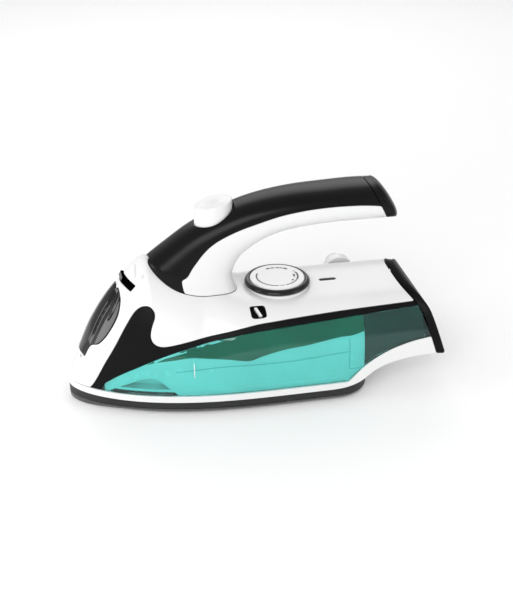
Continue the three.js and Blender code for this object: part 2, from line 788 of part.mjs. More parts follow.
function tankLid() {
  const first = along(27);
  const us = [first, ...tankTop.map((p) => p[0]).filter((u) => u > first + 2 && u < bulkheadU), bulkheadU];
  const top = us.map((u) => [u, lidTopAt(u)]);
  const bottom = us.toReversed().map((u) => [u, lidTopAt(u) - lidThickness]);
  const plate = inside.intersect(across([...top, ...bottom]));
  return cut(
    plate,
    upright(spindleRadius + 1.8 + gap, dialU, 0, 0, 100, 16),
    upright(rodRadius + slide, rodU, 0, 0, 100, 12),
    upright(hoseRadius + gap, hoseDrop[0], hoseDrop[1], 0, 100, 12),
    alongSpout(spoutRadius + gap, 0, spoutReach + 20),
  );
}

// The clear outer walls, joined across the body by the bulkhead behind the water.
function waterTank() {
  const bulkheadTop = lidTopAt(bulkheadU - wall) - lidThickness - gap;
  const bulkhead = outer.intersect(
    across([
      [bulkheadU, baseBottom],
      [bulkheadU, bulkheadTop],
      [bulkheadU - wall, bulkheadTop],
      [bulkheadU - wall, baseBottom],
    ]),
  );
  return cut(join(shell.intersect(seamed(tankRegion)), bulkhead), bossRoom);
}

// A hat-shaped floor, with a flange round its rim and a tube round the thermostat spindle.
function tankBase() {
  const first = baseTop[0][0];
  const hat = bodyVolume(tankInset, -20).intersect(across([[first, baseBottom], ...baseTop, [baseEnd, baseBottom]]));
  const flangeFront = along(20);
  const flangeTop = baseBottom + 1.5;
  const flange = inside.intersect(
    across([
      [flangeFront, baseBottom],
      [flangeFront, flangeTop],
      [baseEnd, flangeTop],
      [baseEnd, baseBottom],
    ]),
  );
  const tube = upright(spindleRadius + 1.8, dialU, 0, seamAt(baseTop, dialU) - wall, lidTopAt(dialU), 16);
  const underHat = across(grown([[first, low], ...baseTop, [baseEnd, low]], -wall));
  return cut(
    join(hat, flange, tube),
    bodyVolume(tankInset + wall, -20).intersect(underHat),
    upright(4 + gap, rodU, 0, 0, 100, 14),
    upright(spindleRadius + slide, dialU, 0, 0, 100, 14),
  );
}

const valveSeatTop = seamAt(baseTop, rodU) + 3;

function valveSeat() {
  const body = upright(4, rodU, 0, coverPlateTop + gap, valveSeatTop, 14);
  return cut(body, upright(rodRadius + slide, rodU, 0, 0, 100, 12));
}

const tankMaterial = plastic(TEAL, 0.1);
Object.assign(tankMaterial, { transparent: true, opacity: 0.6 });
place(tank, "water_tank", waterTank(), tankMaterial);
place(tank, "tank_base", tankBase(), plastic(0xdfe9e6, 0.5));
place(tank, "tank_lid", tankLid(), plastic(0xdfe9e6, 0.5));
place(tank, "valve_seat", valveSeat(), metal(0xc9a75a, 0.3));

// ---------------------------------------------------------------- steam selector and metering valve

const selector = group("selector");
const slotU = along(slotStation);
const slotTurn = THREE.MathUtils.degToRad(slotSlope);
const slotInward = new THREE.Vector3(Math.cos(slotTurn), 0, -Math.sin(slotTurn));
const slotFront = new THREE.Vector3(slotU, 0, crestAt(slotU));
const leverPivot = slotFront.clone().addScaledVector(slotInward, leverArm);

// A piece drawn flat round the lever's pivot, x toward the nose and z along the pivot, tipped into the slot's plane.
const inSlot = (solid) => solid.rotate([0, 180 + slotSlope, 0]).translate(leverPivot.toArray());

const slotRoom = inSlot(block([leverArm, 0, 0], [leverArm + 6, 2 * slotHalfWidth, slotHeight]));
const knobHeight = slotHeight - 2 * slide;
const hubRadius = 3.6;

function steamLever() {
  const hub = upright(hubRadius, 0, 0, -knobHeight / 2, knobHeight / 2, 14);
  const arm = block([leverArm / 2, 0, 0], [leverArm, 3, knobHeight - 0.4]);
  const rounded = upright(leverArm + 1.4, 0, 0, -knobHeight / 2, knobHeight / 2, 48);
  const squared = rounded.intersect(block([leverArm, 0, 0], [8, 9.6, 20]));
  const knob = cut(squared, upright(leverArm - 2.4, 0, 0, -10, 10, 40));
  return inSlot(join(hub, arm, knob));
}

const lidAtRod = lidTopAt(rodU);
const rodTop = leverPivot.z - hubRadius - 2.4;
const valveTravel = 0.8; // each way
const collarHeight = lidAtRod + 10;

function valveRod() {
  const foot = coverPlateTop + gap + 1.2;
  const stem = upright(rodRadius, rodU, 0, foot, rodTop, 12);
  return join(stem, upright(3.3, rodU, 0, collarHeight, collarHeight + 1.4, 14));
}

place(selector, "steam_lever", steamLever(), plastic(0x0d0d0e, 0.15));
place(selector, "valve_rod", valveRod(), metal(STEEL, 0.3));
const valveSpring = coil(2.6, 0.4, rodU, lidTopAt(rodU + 3.4) + gap, collarHeight - gap, 4);
place(selector, "valve_spring", valveSpring, metal(STEEL, 0.35));

// ---------------------------------------------------------------- fill cover, seal and spout

const filling = group("filling");
const ridgeAt = (z) => {
  let u = 0;
  while (crestAt(u) < z && u < length / 4) u += 0.05;
  return u;
};
const pinZ = up(26.6);
const pin = [ridgeAt(pinZ) + 1.2, pinZ];

// Seen from the side: up the back edge of the cover from its foot, over its top, and round in front of the nose.
const coverFoot = pinZ + 2.6;
const coverOutline = [
  [ridgeAt(coverFoot) + 1.5, coverFoot],
  ...placed([
    [12.9, 35.1],
    [17.1, 37.6],
    [21.2, 42.6],
    [28.7, 54.3],
    [31.1, 59.9],
    [30.9, 63.4],
    [28.4, 65.2],
  ]),
  [-20, up(66)],
  [-20, coverFoot],
];
const knuckle = (radius, halfSpan) => rod(radius, [pin[0], -halfSpan, pin[1]], [0, 1, 0], 2 * halfSpan, 16);
const lugOutline = [
  [pin[0] - knuckleRadius, pin[1]],
  [pin[0] + knuckleRadius, pin[1]],
  [ridgeAt(coverFoot + 3) + 2.4, coverFoot + 3],
  [ridgeAt(coverFoot + 3) + 0.2, coverFoot + 3],
];

function fillCover() {
  const skin = cut(bodyVolume(-coverProud), bodyVolume(coverDepth, -20));
  const leaf = skin.intersect(across(coverOutline));
  const lug = across(lugOutline, -knuckleHalfWidth, knuckleHalfWidth);
  return cut(join(leaf, lug, knuckle(knuckleRadius, knuckleHalfWidth)), knuckle(pinRadius + gap, 20));
}

const coverRoom = join(
  across(grown(coverOutline, gap)),
  across(grown(lugOutline, gap), -knuckleHalfWidth - gap, knuckleHalfWidth + gap),
  knuckle(knuckleRadius + gap, knuckleHalfWidth + gap),
  knuckle(pinRadius + gap, 6.2),
);

function fillSpout() {
  const tube = cut(alongSpout(spoutRadius, 20, 20 + spoutReach - 1), alongSpout(spoutBore, 30, 60 + spoutReach));
  return tube.intersect(bodyVolume(coverDepth + sealThickness + 2 * gap, -20));
}

function fillSeal() {
  const plug = alongSpout(spoutRadius, 20, 40);
  return cut(plug.intersect(bodyVolume(coverDepth + gap, -20)), bodyVolume(coverDepth + gap + sealThickness, -30));
}

place(filling, "fill_cover", fillCover(), plastic(0x0d0d0e, 0.12));
place(filling, "fill_seal", fillSeal(), plastic(0x5b5f63, 0.8));
place(filling, "fill_spout", fillSpout(), plastic(0xdfe9e6, 0.5));
place(filling, "cover_hinge_pin", rod(pinRadius, [pin[0], -5.8, pin[1]], [0, 1, 0], 11.6, 10), metal(STEEL, 0.3));

// ---------------------------------------------------------------- thermostat dial

const dial = group("dial");
const deckAtDial = crestAt(dialU);
const capTop = Math.max(deckAtDial, crestAt(dialU - dialRadius) - 0.8) + dialRise;
const rimBottom = Math.max(deckAtDial + 1, crestAt(dialU - dialRadius) + 0.2);

function dialBase() {
  const disc = upright(dialBaseRadius, dialU, 0, deckHeight - 6, rimBottom - gap, 36);
  const spigot = upright(dialHoleRadius - gap, dialU, 0, deckAtDial - 4.5, rimBottom - gap - 0.2, 28);
  return cut(join(cut(disc, bodyVolume(-gap, -20)), spigot), upright(spindleRadius + slide, dialU, 0, 0, 100, 14));
}

const dialRimProfile = [
  [dialCapRadius + gap, rimBottom],
  [dialRadius - 0.8, rimBottom],
  [dialRadius, rimBottom + 0.9],
  [dialRadius - 0.2, capTop - 1.5],
  [dialRadius - 1.3, capTop - 0.6],
  [dialCapRadius + gap, capTop - 0.5],
  [dialCapRadius + gap, rimBottom],
];
const dialCapProfile = [
  [0, rimBottom],
  [dialCapRadius, rimBottom],
  [dialCapRadius, capTop - 0.5],
  [dialCapRadius - 0.5, capTop],
  [0, capTop],
];

place(dial, "dial_base", dialBase(), plastic(WHITE, 0.25));
place(dial, "dial_rim", turned(dialRimProfile, 36).translate([dialU, 0, 0]), plastic(0x0d0d0e, 0.15));
place(dial, "dial_cap", turned(dialCapProfile, 36).translate([dialU, 0, 0]), plastic(WHITE, 0.3));
const spindle = upright(spindleRadius, dialU, 0, spindleBottom, rimBottom - gap, 12);
place(dial, "thermostat_spindle", spindle, metal(STEEL, 0.35));

// ---------------------------------------------------------------- pilot light and voltage switch

const electrics = group("electrics");
const pilotU = along(pilotStation);
const slotBar = (extra, bottom, top) => {
  const h = pilotWidth / 2 + extra;
  const reach = pilotLength / 2 - pilotWidth / 2;
  const shape = new THREE.Shape();
  shape.absarc(pilotU + reach, 0, h, -Math.PI / 2, Math.PI / 2);
  shape.absarc(pilotU - reach, 0, h, Math.PI / 2, (3 * Math.PI) / 2);
  const g = new THREE.ExtrudeGeometry(shape, { depth: top - bottom, bevelEnabled: false, curveSegments: 5 });
  return solidOf(g.translate(0, 0, bottom));
};
const lensBottom = deckHeight - 2.6;
place(electrics, "pilot_lens", slotBar(0, lensBottom, crestAt(pilotU) + 0.1), plastic(0x18090a, 0.15));
const lampRadius = 1.5;
const lamp = rod(lampRadius, [pilotU - 4.5, 0, lensBottom - gap - lampRadius], [1, 0, 0], 9, 10);
place(electrics, "pilot_lamp", lamp, plastic(0xe08a4a, 0.2));

const switchU = along(switchStation);
const switchY = acrossBody(switchAcross);
const switchZ = heightAt(switchU, switchY);
const switchTilt = THREE.MathUtils.radToDeg(Math.atan(slopeOf((y) => heightAt(switchU, y), switchY)));
const switchDepth = 4.8;
const sliderSize = [3.4, switchSide - 2.4, 1.8];

// A block sunk below the surface at the switch, from one depth to another.
function atSwitch(size, depth) {
  const drop = depth + size[2] / 2;
  const turn = THREE.MathUtils.degToRad(switchTilt);
  return block([switchU, switchY + drop * Math.sin(turn), switchZ - drop * Math.cos(turn)], size, 0, switchTilt);
}
const switchBody = cut(
  atSwitch([switchSide, switchSide, switchDepth - 0.6], 0.6),
  atSwitch([sliderSize[0] + 2 * sliderTravel + 2 * slide, sliderSize[1] + 2 * slide, 6], -4),
);
place(electrics, "voltage_switch", switchBody, plastic(0x232325, 0.5));
place(electrics, "voltage_slider", atSwitch(sliderSize, 0.1), plastic(WHITE, 0.3));
const switchRoom = atSwitch([switchSide + 2 * gap, switchSide + 2 * gap, 12], -6);

// ---------------------------------------------------------------- top shell and handle

const handleGroup = group("handle");
const dialHole = upright(dialHoleRadius, dialU, 0, 40, 100, 28);
const footRoom = handleVolume(-gap, -footDepth, 0.2, false);
const topShell = cut(
  shell.intersect(seamed(topRegion)),
  footRoom,
  dialHole,
  coverRoom,
  slotRoom,
  slotBar(gap, 0, 100),
  switchRoom,
  bossRoom,
);
place(handleGroup, "top_shell", topShell, plastic(WHITE, 0.25));

// An oval ring of the button, its base moved outward by extra, at a height that may rise toward the rear.
function oval(extra, z, tilt = 0) {
  return Array.from({ length: 24 }, (_, i) => {
    const angle = (i * Math.PI) / 12;
    const forward = (buttonHalfLength + extra) * Math.cos(angle);
    return [buttonU + forward, (buttonHalfWidth + extra) * Math.sin(angle), z + tilt * forward];
  });
}

// Height of the handle's crest above a station.
function crestOfHandle(u) {
  let t = 0;
  while (crestCurve.getPoint(t).x < u && t < 1) t += 0.002;
  return crestCurve.getPoint(t).y;
}
const buttonBottom = crestOfHandle(buttonU - buttonHalfLength) - 2.5;
const buttonTop = crestOfHandle(buttonU) + buttonRise;
const pocketTop = buttonBottom + 5.5;

function steamButton() {
  const rounding = 0.9;
  const body = loft([
    oval(0, buttonBottom),
    oval(-buttonDraft, buttonTop - rounding, buttonTilt),
    oval(-buttonDraft - rounding, buttonTop, buttonTilt),
  ]);
  return cut(body, upright(pumpRadius + 1, buttonU, 0, 0, pocketTop, 18));
}

const pumpTop = buttonBottom - buttonTravel - 1.2;
const pumpFoot = pumpTop - pumpLength;

const screwU = along(68);
const screwAcross = 8;
const screwRadius = 1.3;
const footFloorHoles = [
  ...[-1, 1].map((side) => upright(screwRadius + gap, screwU, side * screwAcross, 0, 80, 12)),
  upright(hoseRadius + 4, buttonU, 0, 0, pumpTop, 18), // room for the hose
];
const handleLower = cut(handleShell.intersect(seamed(lowerRegion)), ...footFloorHoles);
const buttonRoom = loft([oval(slide, buttonBottom - 9), oval(slide, high)]);
const handleGrip = cut(handleShell.intersect(seamed(upperRegion)), buttonRoom);
place(handleGroup, "handle_lower", handleLower, plastic(WHITE, 0.25));
place(handleGroup, "handle_grip", handleGrip, plastic(BLACK, 0.5));

for (const side of [-1, 1]) {
  const under = seamAt([footCrest, footKeel], screwU) - 2.4;
  const y = side * screwAcross;
  const head = upright(2.5, screwU, y, under - 1.6, under, 12);
  const shank = upright(screwRadius, screwU, y, under - 0.5, under + 11, 10);
  place(handleGroup, side < 0 ? "handle_screw_left" : "handle_screw_right", join(head, shank), metal(STEEL, 0.3));
}

const hosePath = [
  [buttonU, 0, pumpFoot - gap],
  [buttonU, 0.5, pumpFoot - 5],
  [hoseDrop[0], hoseDrop[1] - 0.5, lidTopAt(buttonU) + 9],
  [hoseDrop[0], hoseDrop[1], lidTopAt(buttonU)],
  [hoseDrop[0], hoseDrop[1], seamAt(baseTop, buttonU) + 3],
];

const pump = group("pump");
place(pump, "steam_button", steamButton(), plastic(WHITE, 0.25));
const boreFloor = pumpFoot + 2;
const cylinder = upright(pumpRadius, buttonU, 0, pumpFoot, pumpTop, 18);
const bore = upright(pumpBore, buttonU, 0, boreFloor, high, 16);
const piston = upright(pistonRadius, buttonU, 0, boreFloor + buttonTravel + 1, pocketTop - gap, 16);
const buttonSpring = coil(pistonRadius + 1.4, 0.45, buttonU, pumpTop + gap, pocketTop - gap, 4);
place(pump, "pump_body", cut(cylinder, bore), plastic(0xdcdcda, 0.4));
place(pump, "pump_piston", piston, plastic(0xc8c8c4, 0.4));
place(pump, "button_spring", buttonSpring, metal(STEEL, 0.35));
place(pump, "pump_hose", bar(bent(hosePath), hoseRadius, 16), plastic(0xe9e9e4, 0.4));

// ---------------------------------------------------------------- cord inlet and wiring

const skinAtGland = (() => {
  const share = ((glandZ - rim) / (crestAt(glandU) - rim)) ** topBend(glandU);
  return widthAt(glandU) * (1 - share) ** (1 / sideBend(glandU));
})();

// A ribbed bush: a neck through the boss, a flange outside and two ribs, with a clear bore for the cord.
function cordGland() {
  const from = skinAtGland - 9;
  const flange = skinAtGland + 3.2;
  const sections = [
    [glandNeck, from, flange],
    [glandRadius, flange, flange + 2.6],
    [glandRadius - 1.5, flange + 2.4, flange + 4.7],
    [glandRadius - 0.3, flange + 4.5, flange + 6.7],
    [glandRadius - 2, flange + 6.5, skinAtGland + glandLength],
  ];
  const rings = sections.map(([radius, a, b]) => rod(radius, [glandU, a, glandZ], [0, 1, 0], b - a, 20));
  return cut(join(...rings), rod(glandBore, [glandU, from - 5, glandZ], [0, 1, 0], 60, 16));
}

const blockU = along(181);
const terminalSize = [12, 24, 10];
const floorOfHeel = heelBottom + wall + gap;
const terminalZ = floorOfHeel + 1 + terminalSize[2] / 2;

function terminalBlock() {
  const body = block([blockU, 0, terminalZ], terminalSize);
  const ports = [-7, 0, 7].map((y) => upright(1.6, blockU, y, terminalZ + 1, 100, 10));
  return cut(body, ...ports);
}

function cordClamp() {
  const y = skinAtGland - 14;
  const bridge = block([glandU, y, glandZ + 4.6], [16, 5, 2]);
  const saddle = block([glandU, y, glandZ - 5.2], [16, 5, 2]);
  const posts = [-1, 1].map((side) => block([glandU + side * 6.6, y, glandZ], [2.2, 3, 10]));
  return join(bridge, saddle, ...posts);
}

function lead(side) {
  const start = [elementU, side * elementAcross, elementTop + gap + 0.2];
  return bar(
    bent([
      start,
      [start[0] + 1, side * elementAcross, start[2] + 6],
      [blockU - 6, side * 12, terminalZ + 8],
      [blockU, side * 7, terminalZ + 9],
      [blockU, side * 7, terminalZ + 2],
    ]),
    1.1,
    14,
    6,
  );
}

place(electrics, "cord_gland", cordGland(), plastic(WHITE, 0.35));
place(electrics, "cord_clamp", cordClamp(), plastic(0xdcdcda, 0.5));
place(electrics, "terminal_block", terminalBlock(), plastic(0xe4e2da, 0.6));
place(electrics, "lead_live", lead(-1), plastic(0x6b4423, 0.6));
place(electrics, "lead_neutral", lead(1), plastic(0x2a5fa8, 0.6));

// ---------------------------------------------------------------- the whole iron

iron.position.x = -length / 2;
export default iron;
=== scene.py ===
# Travel steam iron: the shells, controls and plates that show, with their finishes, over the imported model.
# Shapes are worked out in body millimetres: u from the nose tip to the heel, y across, z up from the table.
import json
import math
import bpy
import numpy as np
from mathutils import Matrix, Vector, geometry


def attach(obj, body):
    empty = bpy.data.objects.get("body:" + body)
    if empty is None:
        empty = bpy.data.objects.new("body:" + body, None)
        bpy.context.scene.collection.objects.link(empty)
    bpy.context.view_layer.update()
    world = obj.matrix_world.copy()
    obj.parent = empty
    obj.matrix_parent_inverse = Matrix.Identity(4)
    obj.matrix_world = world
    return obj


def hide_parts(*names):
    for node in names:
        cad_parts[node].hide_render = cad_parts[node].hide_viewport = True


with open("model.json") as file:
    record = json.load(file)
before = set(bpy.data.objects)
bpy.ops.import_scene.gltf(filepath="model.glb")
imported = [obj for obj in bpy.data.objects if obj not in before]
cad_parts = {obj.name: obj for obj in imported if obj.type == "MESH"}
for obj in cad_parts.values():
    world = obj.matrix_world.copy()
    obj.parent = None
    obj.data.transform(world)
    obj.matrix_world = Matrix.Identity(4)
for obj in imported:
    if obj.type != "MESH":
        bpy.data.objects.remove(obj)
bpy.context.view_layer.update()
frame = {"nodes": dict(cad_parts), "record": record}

LENGTH, HALF, RIM = 209.0, 39.0, 12.0  # the body's length and half width, and the height of its lower rim
MM = 0.001

# --- camera, light and floor

scene = bpy.context.scene
camera = bpy.data.objects.new("camera", bpy.data.cameras.new("camera"))
scene.collection.objects.link(camera)
camera.location = (-0.12634, -0.61332, 0.37863)
camera.rotation_mode = "QUATERNION"
aim = Vector((0.00216, -0.00876, 0.050)) - camera.location
camera.rotation_quaternion = aim.to_track_quat("-Z", "Y")
camera.data.lens = 74.48
camera.data.sensor_width = 36
camera.data.clip_start, camera.data.clip_end = 0.02, 20
scene.camera = camera
scene.view_settings.view_transform = "Standard"

def put(node, **values):
    """Sets constants on a node's sockets. A socket's name has _ here where it has a space."""
    for socket, value in values.items():
        node.inputs[socket.replace("_", " ")].default_value = value
    return node


world = bpy.data.worlds.new("studio")
scene.world = world
world.use_nodes = True
put(world.node_tree.nodes["Background"], Color=(1, 1, 1, 1), Strength=0.64)


def area_light(name, place, target, size, power):
    data = bpy.data.lights.new(name, "AREA")
    data.shape, data.size, data.size_y, data.energy = "RECTANGLE", size[0], size[1], power
    lamp = bpy.data.objects.new(name, data)
    scene.collection.objects.link(lamp)
    lamp.location = place
    lamp.rotation_mode = "QUATERNION"
    lamp.rotation_quaternion = (Vector(target) - Vector(place)).to_track_quat("-Z", "Y")


NOSE_LIGHT = (-0.62, -0.056, 0.127)
area_light("key", (-0.45, -1.0, 0.75), (0, 0, 0.04), (0.8, 0.6), 8.0)
area_light("side", (0.85, -0.55, 0.45), (0, 0, 0.05), (0.5, 0.6), 1.5)
area_light("back", (0.1, 0.8, 0.6), (0, 0, 0.05), (0.9, 0.5), 2.0)
area_light("nose", NOSE_LIGHT, (-0.08, -0.013, 0.045), (0.22, 0.3), 1.2)


# --- materials


def shade(name, color, roughness, metallic=0.0, noise=0.0, bump=0.0, scale=400.0, **sockets):
    """Principled material whose colour and roughness vary a little, over a fine moulded or cast texture."""
    m = bpy.data.materials.new(name)
    m.use_nodes = True
    new, link = m.node_tree.nodes.new, m.node_tree.links.new
    main = put(m.node_tree.nodes["Principled BSDF"], Metallic=metallic, **sockets)
    where = new("ShaderNodeTexCoord")
    broad = put(new("ShaderNodeTexNoise"), Scale=35.0, Detail=4.0)
    link(where.outputs["Object"], broad.inputs["Vector"])
    tint = new("ShaderNodeValToRGB")
    low, high = tint.color_ramp.elements
    low.color = (*[c * (1 - noise) for c in color], 1)
    high.color = (*[min(c * (1 + noise), 1.0) for c in color], 1)
    low.position, high.position = 0.3, 0.7
    link(broad.outputs["Fac"], tint.inputs["Fac"])
    link(tint.outputs["Color"], main.inputs["Base Color"])
    gloss = put(new("ShaderNodeMapRange"), To_Min=roughness * 0.88, To_Max=roughness * 1.12)
    link(broad.outputs["Fac"], gloss.inputs["Value"])
    link(gloss.outputs["Result"], main.inputs["Roughness"])
    if bump:
        grain = put(new("ShaderNodeTexNoise"), Scale=scale, Detail=2.0)
        link(where.outputs["Object"], grain.inputs["Vector"])
        relief = put(new("ShaderNodeBump"), Strength=bump, Distance=0.00005)
        link(grain.outputs["Fac"], relief.inputs["Height"])
        link(relief.outputs["Normal"], main.inputs["Normal"])
    return m


WHITE = shade("gloss_white", (0.74, 0.74, 0.74), 0.24, noise=0.01, bump=0.04, scale=900, Coat_Weight=0.15,
              Coat_Roughness=0.1)
SATIN = shade("satin_black", (0.005, 0.005, 0.0055), 0.4, noise=0.12, bump=0.25, scale=2600,
              Specular_IOR_Level=0.08)
GRIP = shade("soft_touch_black", (0.004, 0.004, 0.0045), 0.27, noise=0.15, bump=0.15, scale=2200,
             Specular_IOR_Level=0.14)
GLOSS = shade("gloss_black", (0.004, 0.004, 0.0045), 0.13, noise=0.05, bump=0.02, scale=800,
              Specular_IOR_Level=0.4)
PALE = shade("pale_inner", (0.80, 0.92, 0.90), 0.45, noise=0.03, bump=0.1, scale=700)
DARK = shade("sole_coating", (0.075, 0.075, 0.078), 0.27, 0.4, noise=0.15, bump=0.35, scale=1800)
HEAT = shade("heat_shield_black", (0.008, 0.008, 0.008), 0.5, noise=0.2, bump=0.5, scale=1500)
CAST = shade("cast_aluminium", (0.42, 0.43, 0.44), 0.5, 0.9, noise=0.2, bump=0.8, scale=900)
SHEATH = shade("element_sheath", (0.3, 0.3, 0.31), 0.45, 0.9, noise=0.2, bump=0.3, scale=900)
STEEL = shade("bright_steel", (0.62, 0.62, 0.63), 0.25, 1.0, noise=0.08, bump=0.15, scale=1600)
BRASS = shade("turned_brass", (0.55, 0.38, 0.13), 0.28, 1.0, noise=0.1, bump=0.15, scale=1600)
RUBBER = shade("seal_rubber", (0.11, 0.12, 0.13), 0.7, noise=0.15, bump=0.5, scale=1300)
CERAMIC = shade("ceramic", (0.75, 0.72, 0.66), 0.55, noise=0.05, bump=0.3, scale=1200)
LENS = shade("dark_red_lens", (0.010, 0.004, 0.004), 0.25, noise=0.05, Specular_IOR_Level=0.12)
LAMP = shade("neon_glass", (0.6, 0.25, 0.1), 0.15, noise=0.1, Transmission_Weight=0.4)
BROWN = shade("brown_insulation", (0.12, 0.055, 0.02), 0.5, noise=0.1, bump=0.2, scale=900)
BLUE = shade("blue_insulation", (0.02, 0.09, 0.35), 0.5, noise=0.1, bump=0.2, scale=900)
# painted shade: darker teal for lines along the tank wall's shelf and rib, where shade falls
CREASE_SHADE = shade("painted_crease_shade", (0.42, 0.70, 0.70), 0.5, noise=0.03)
# painted shade: near black for the sheet behind the tank's rear part, standing in for the shade inside the
# body
REAR_SHADE = shade("painted_shade_rear_liner", (0.035, 0.055, 0.045), 0.6, noise=0.25, Specular_IOR_Level=0.05)
# painted shade: dark teal for the sheet behind the tank's upper part, standing in for the shade inside the
# shell
SHADE_TEAL = shade("painted_shade_teal_liner", (0.0, 0.16, 0.095), 0.5, noise=0.12, Specular_IOR_Level=0.05)
PRINT = shade("grey_print", (0.05, 0.05, 0.055), 0.5, noise=0.1)
FAINT = shade("faint_print", (0.55, 0.55, 0.55), 0.4, noise=0.05)
TEAL = shade("teal_clear", (0.42, 0.96, 0.93), 0.06, noise=0.01, bump=0.02, scale=300,
             Transmission_Weight=1.0, IOR=1.45, Specular_IOR_Level=0.15)
FLOOR = shade("studio_floor", (0.985, 0.985, 0.985), 0.9, noise=0.003)
SLOTS = {
    "white_plastic": WHITE, "black_plastic": SATIN, "black_gloss": GLOSS, "teal_clear": TEAL,
    "pale_plastic": PALE, "dark_coating": DARK, "heat_plastic": HEAT, "cast_aluminium": CAST,
    "element_sheath": SHEATH, "steel": STEEL, "brass": BRASS, "seal_rubber": RUBBER, "ceramic_white": CERAMIC,
    "lens": LENS, "lamp_glass": LAMP, "wire_brown": BROWN, "wire_blue": BLUE,
}

# --- curves


def hermite(t):
    """The shares of the start, its slope, the end and its slope, at t from 0 to 1."""
    return 2 * t**3 - 3 * t**2 + 1, t**3 - 2 * t**2 + t, -2 * t**3 + 3 * t**2, t**3 - t**2


def smooth(points):
    """A curve through [x, y] points that never overshoots them."""
    x, y = np.array(points, float).T
    step = np.diff(x)
    slope = np.diff(y) / step
    tangent = np.zeros_like(x)
    tangent[0], tangent[-1] = slope[0], slope[-1]
    for i in range(1, len(x) - 1):
        if slope[i - 1] * slope[i] > 0:
            before, after = 2 * step[i] + step[i - 1], step[i] + 2 * step[i - 1]
            tangent[i] = (before + after) / (before / slope[i - 1] + after / slope[i])

    def at(v):
        v = np.clip(v, x[0], x[-1])
        i = np.clip(np.searchsorted(x, v, side="right") - 1, 0, len(x) - 2)
        a, b, c, d = hermite((v - x[i]) / step[i])
        return a * y[i] + b * step[i] * tangent[i] + c * y[i + 1] + d * step[i] * tangent[i + 1]

    return at


def spline(points):
    """The uniform Catmull-Rom curve through the points, over 0 to 1."""
    p = np.array(points, float)
    p = p.reshape(len(p), -1)
    last = len(p) - 1

    def at(t):
        s = np.clip(t, 0, 1) * last
        i = np.minimum(s.astype(int), last - 1)
        w = (s - i)[..., None]
        p0, p1, p2, p3 = p[np.maximum(i - 1, 0)], p[i], p[i + 1], p[np.minimum(i + 2, last)]
        v0, v1 = (p2 - p0) / 2, (p3 - p1) / 2
        return (2 * p1 - 2 * p2 + v0 + v1) * w**3 + (-3 * p1 + 3 * p2 - 2 * v0 - v1) * w**2 + v0 * w + p1

    return at


def run_of(points):
    """The distance along a polyline at each of its points."""
    return np.r_[0, np.cumsum(np.linalg.norm(np.diff(points, axis=0), axis=1))]


def spread(loop, count):
    """A closed loop as a number of points, evenly spaced along it."""
    closed = np.vstack([loop, loop[:1]])
    run = run_of(closed)
    s = np.linspace(0, run[-1], count, endpoint=False)
    return np.stack([np.interp(s, run, column) for column in closed.T], 1)


def resample(loop, spacing):
    """A closed loop with its points about a spacing apart."""
    length = run_of(np.vstack([loop, loop[:1]]))[-1]
    return spread(loop, max(int(round(length / spacing)), 6))


def rounded(loop, radius, spacing):
    """A closed loop with its corners rounded, and its points evenly spaced."""
    step = 0.2
    fine = resample(loop, step)
    reach = max(int(radius / step), 1)
    for _ in range(2):
        total = sum(np.roll(fine, k, axis=0) for k in range(-reach, reach + 1))
        fine = total / (2 * reach + 1)
    return resample(fine, spacing)


def mix(a, b, low, high, t):
    """The point at t on the line through a at low and b at high."""
    return (high - t) / (high - low) * a + (t - low) / (high - low) * b


def curve(points, per=14):
    """An open, smooth polyline through the points, paced by the root of the distance between them."""
    p = np.array(points, float)
    ghost = np.vstack([2 * p[0] - p[1], p, 2 * p[-1] - p[-2]])
    out = []
    for i in range(1, len(ghost) - 2):
        four = ghost[i - 1 : i + 3]
        k = [0.0]
        for a, b in zip(four, four[1:]):
            k.append(k[-1] + max(np.linalg.norm(b - a), 1e-6) ** 0.5)
        for t in np.linspace(k[1], k[2], per, endpoint=False):
            a1, a2, a3 = (mix(four[j], four[j + 1], k[j], k[j + 1], t) for j in range(3))
            b1, b2 = mix(a1, a2, k[0], k[2], t), mix(a2, a3, k[1], k[3], t)
            out.append(mix(b1, b2, k[1], k[2], t))
    return np.array([*out, p[-1]])


def border_between(low, high, beyond):
    """By halving, the values where beyond(values) turns true, between low and high."""
    for _ in range(40):
        middle = (low + high) / 2
        past = beyond(middle)
        low, high = np.where(past, low, middle), np.where(past, middle, high)
    return (low + high) / 2


def ease(x, low, high):
    """A soft step from 0 at low to 1 at high."""
    t = np.clip((x - low) / (high - low), 0, 1)
    return t * t * (3 - 2 * t)


# --- form of the body

WIDEST = 115  # the station where the body is widest


def width(u):
    """Half the body's width at its rim."""
    front = np.clip(1 - u / WIDEST, 0, 1)
    rear = np.clip((u - WIDEST) / (LENGTH - WIDEST), 0, 1)
    return HALF * (1 - front**2.6) ** (2 / 3) - 1.5 * rear**2


crest = smooth([[0, 11], [1.7, 14], [7.6, 27], [16.2, 46.3], [28.7, 65], [46.6, 82.5], [48, 81.8],
                [72, 70.5], [96.7, 59.3], [106, 57.5], [210, 57]])
side_bend = smooth([[0, 1.7], [16, 1.6], [46, 1.5], [72, 1.6], [100, 3.0], [115, 3.5], [210, 3.5]])
top_bend = smooth([[0, 2.2], [16, 2.2], [46, 2.0], [72, 2.2], [100, 3.2], [115, 3.5], [210, 3.5]])

NOSE = 0.62  # station where the crest leaves the rim
stations = np.linspace(0, 1, 900) ** 1.6 * (LENGTH + 8 - NOSE) + NOSE
crest_run = np.r_[0, np.cumsum(np.hypot(np.diff(stations), np.diff(crest(stations))))]


def rise(u):
    """The crest's height above the rim."""
    return np.maximum(crest(u) - RIM, 0.02)


def section(u, phi):
    """y and z of the body's surface at a station, at an angle round the section: 90 degrees is the crest."""
    s, t = side_bend(u), top_bend(u)
    c, d = np.abs(np.cos(phi)), np.abs(np.sin(phi))
    r = np.full(np.broadcast(s, c).shape, 1.45)
    for _ in range(9):
        a, b = (r * c) ** s, (r * d) ** t
        r = r - (a + b - 1) * r / (s * a + t * b + 1e-12)
    return width(u) * r * np.cos(phi), RIM + rise(u) * r * d


STEPS = np.linspace(math.pi / 2, 0, 42)


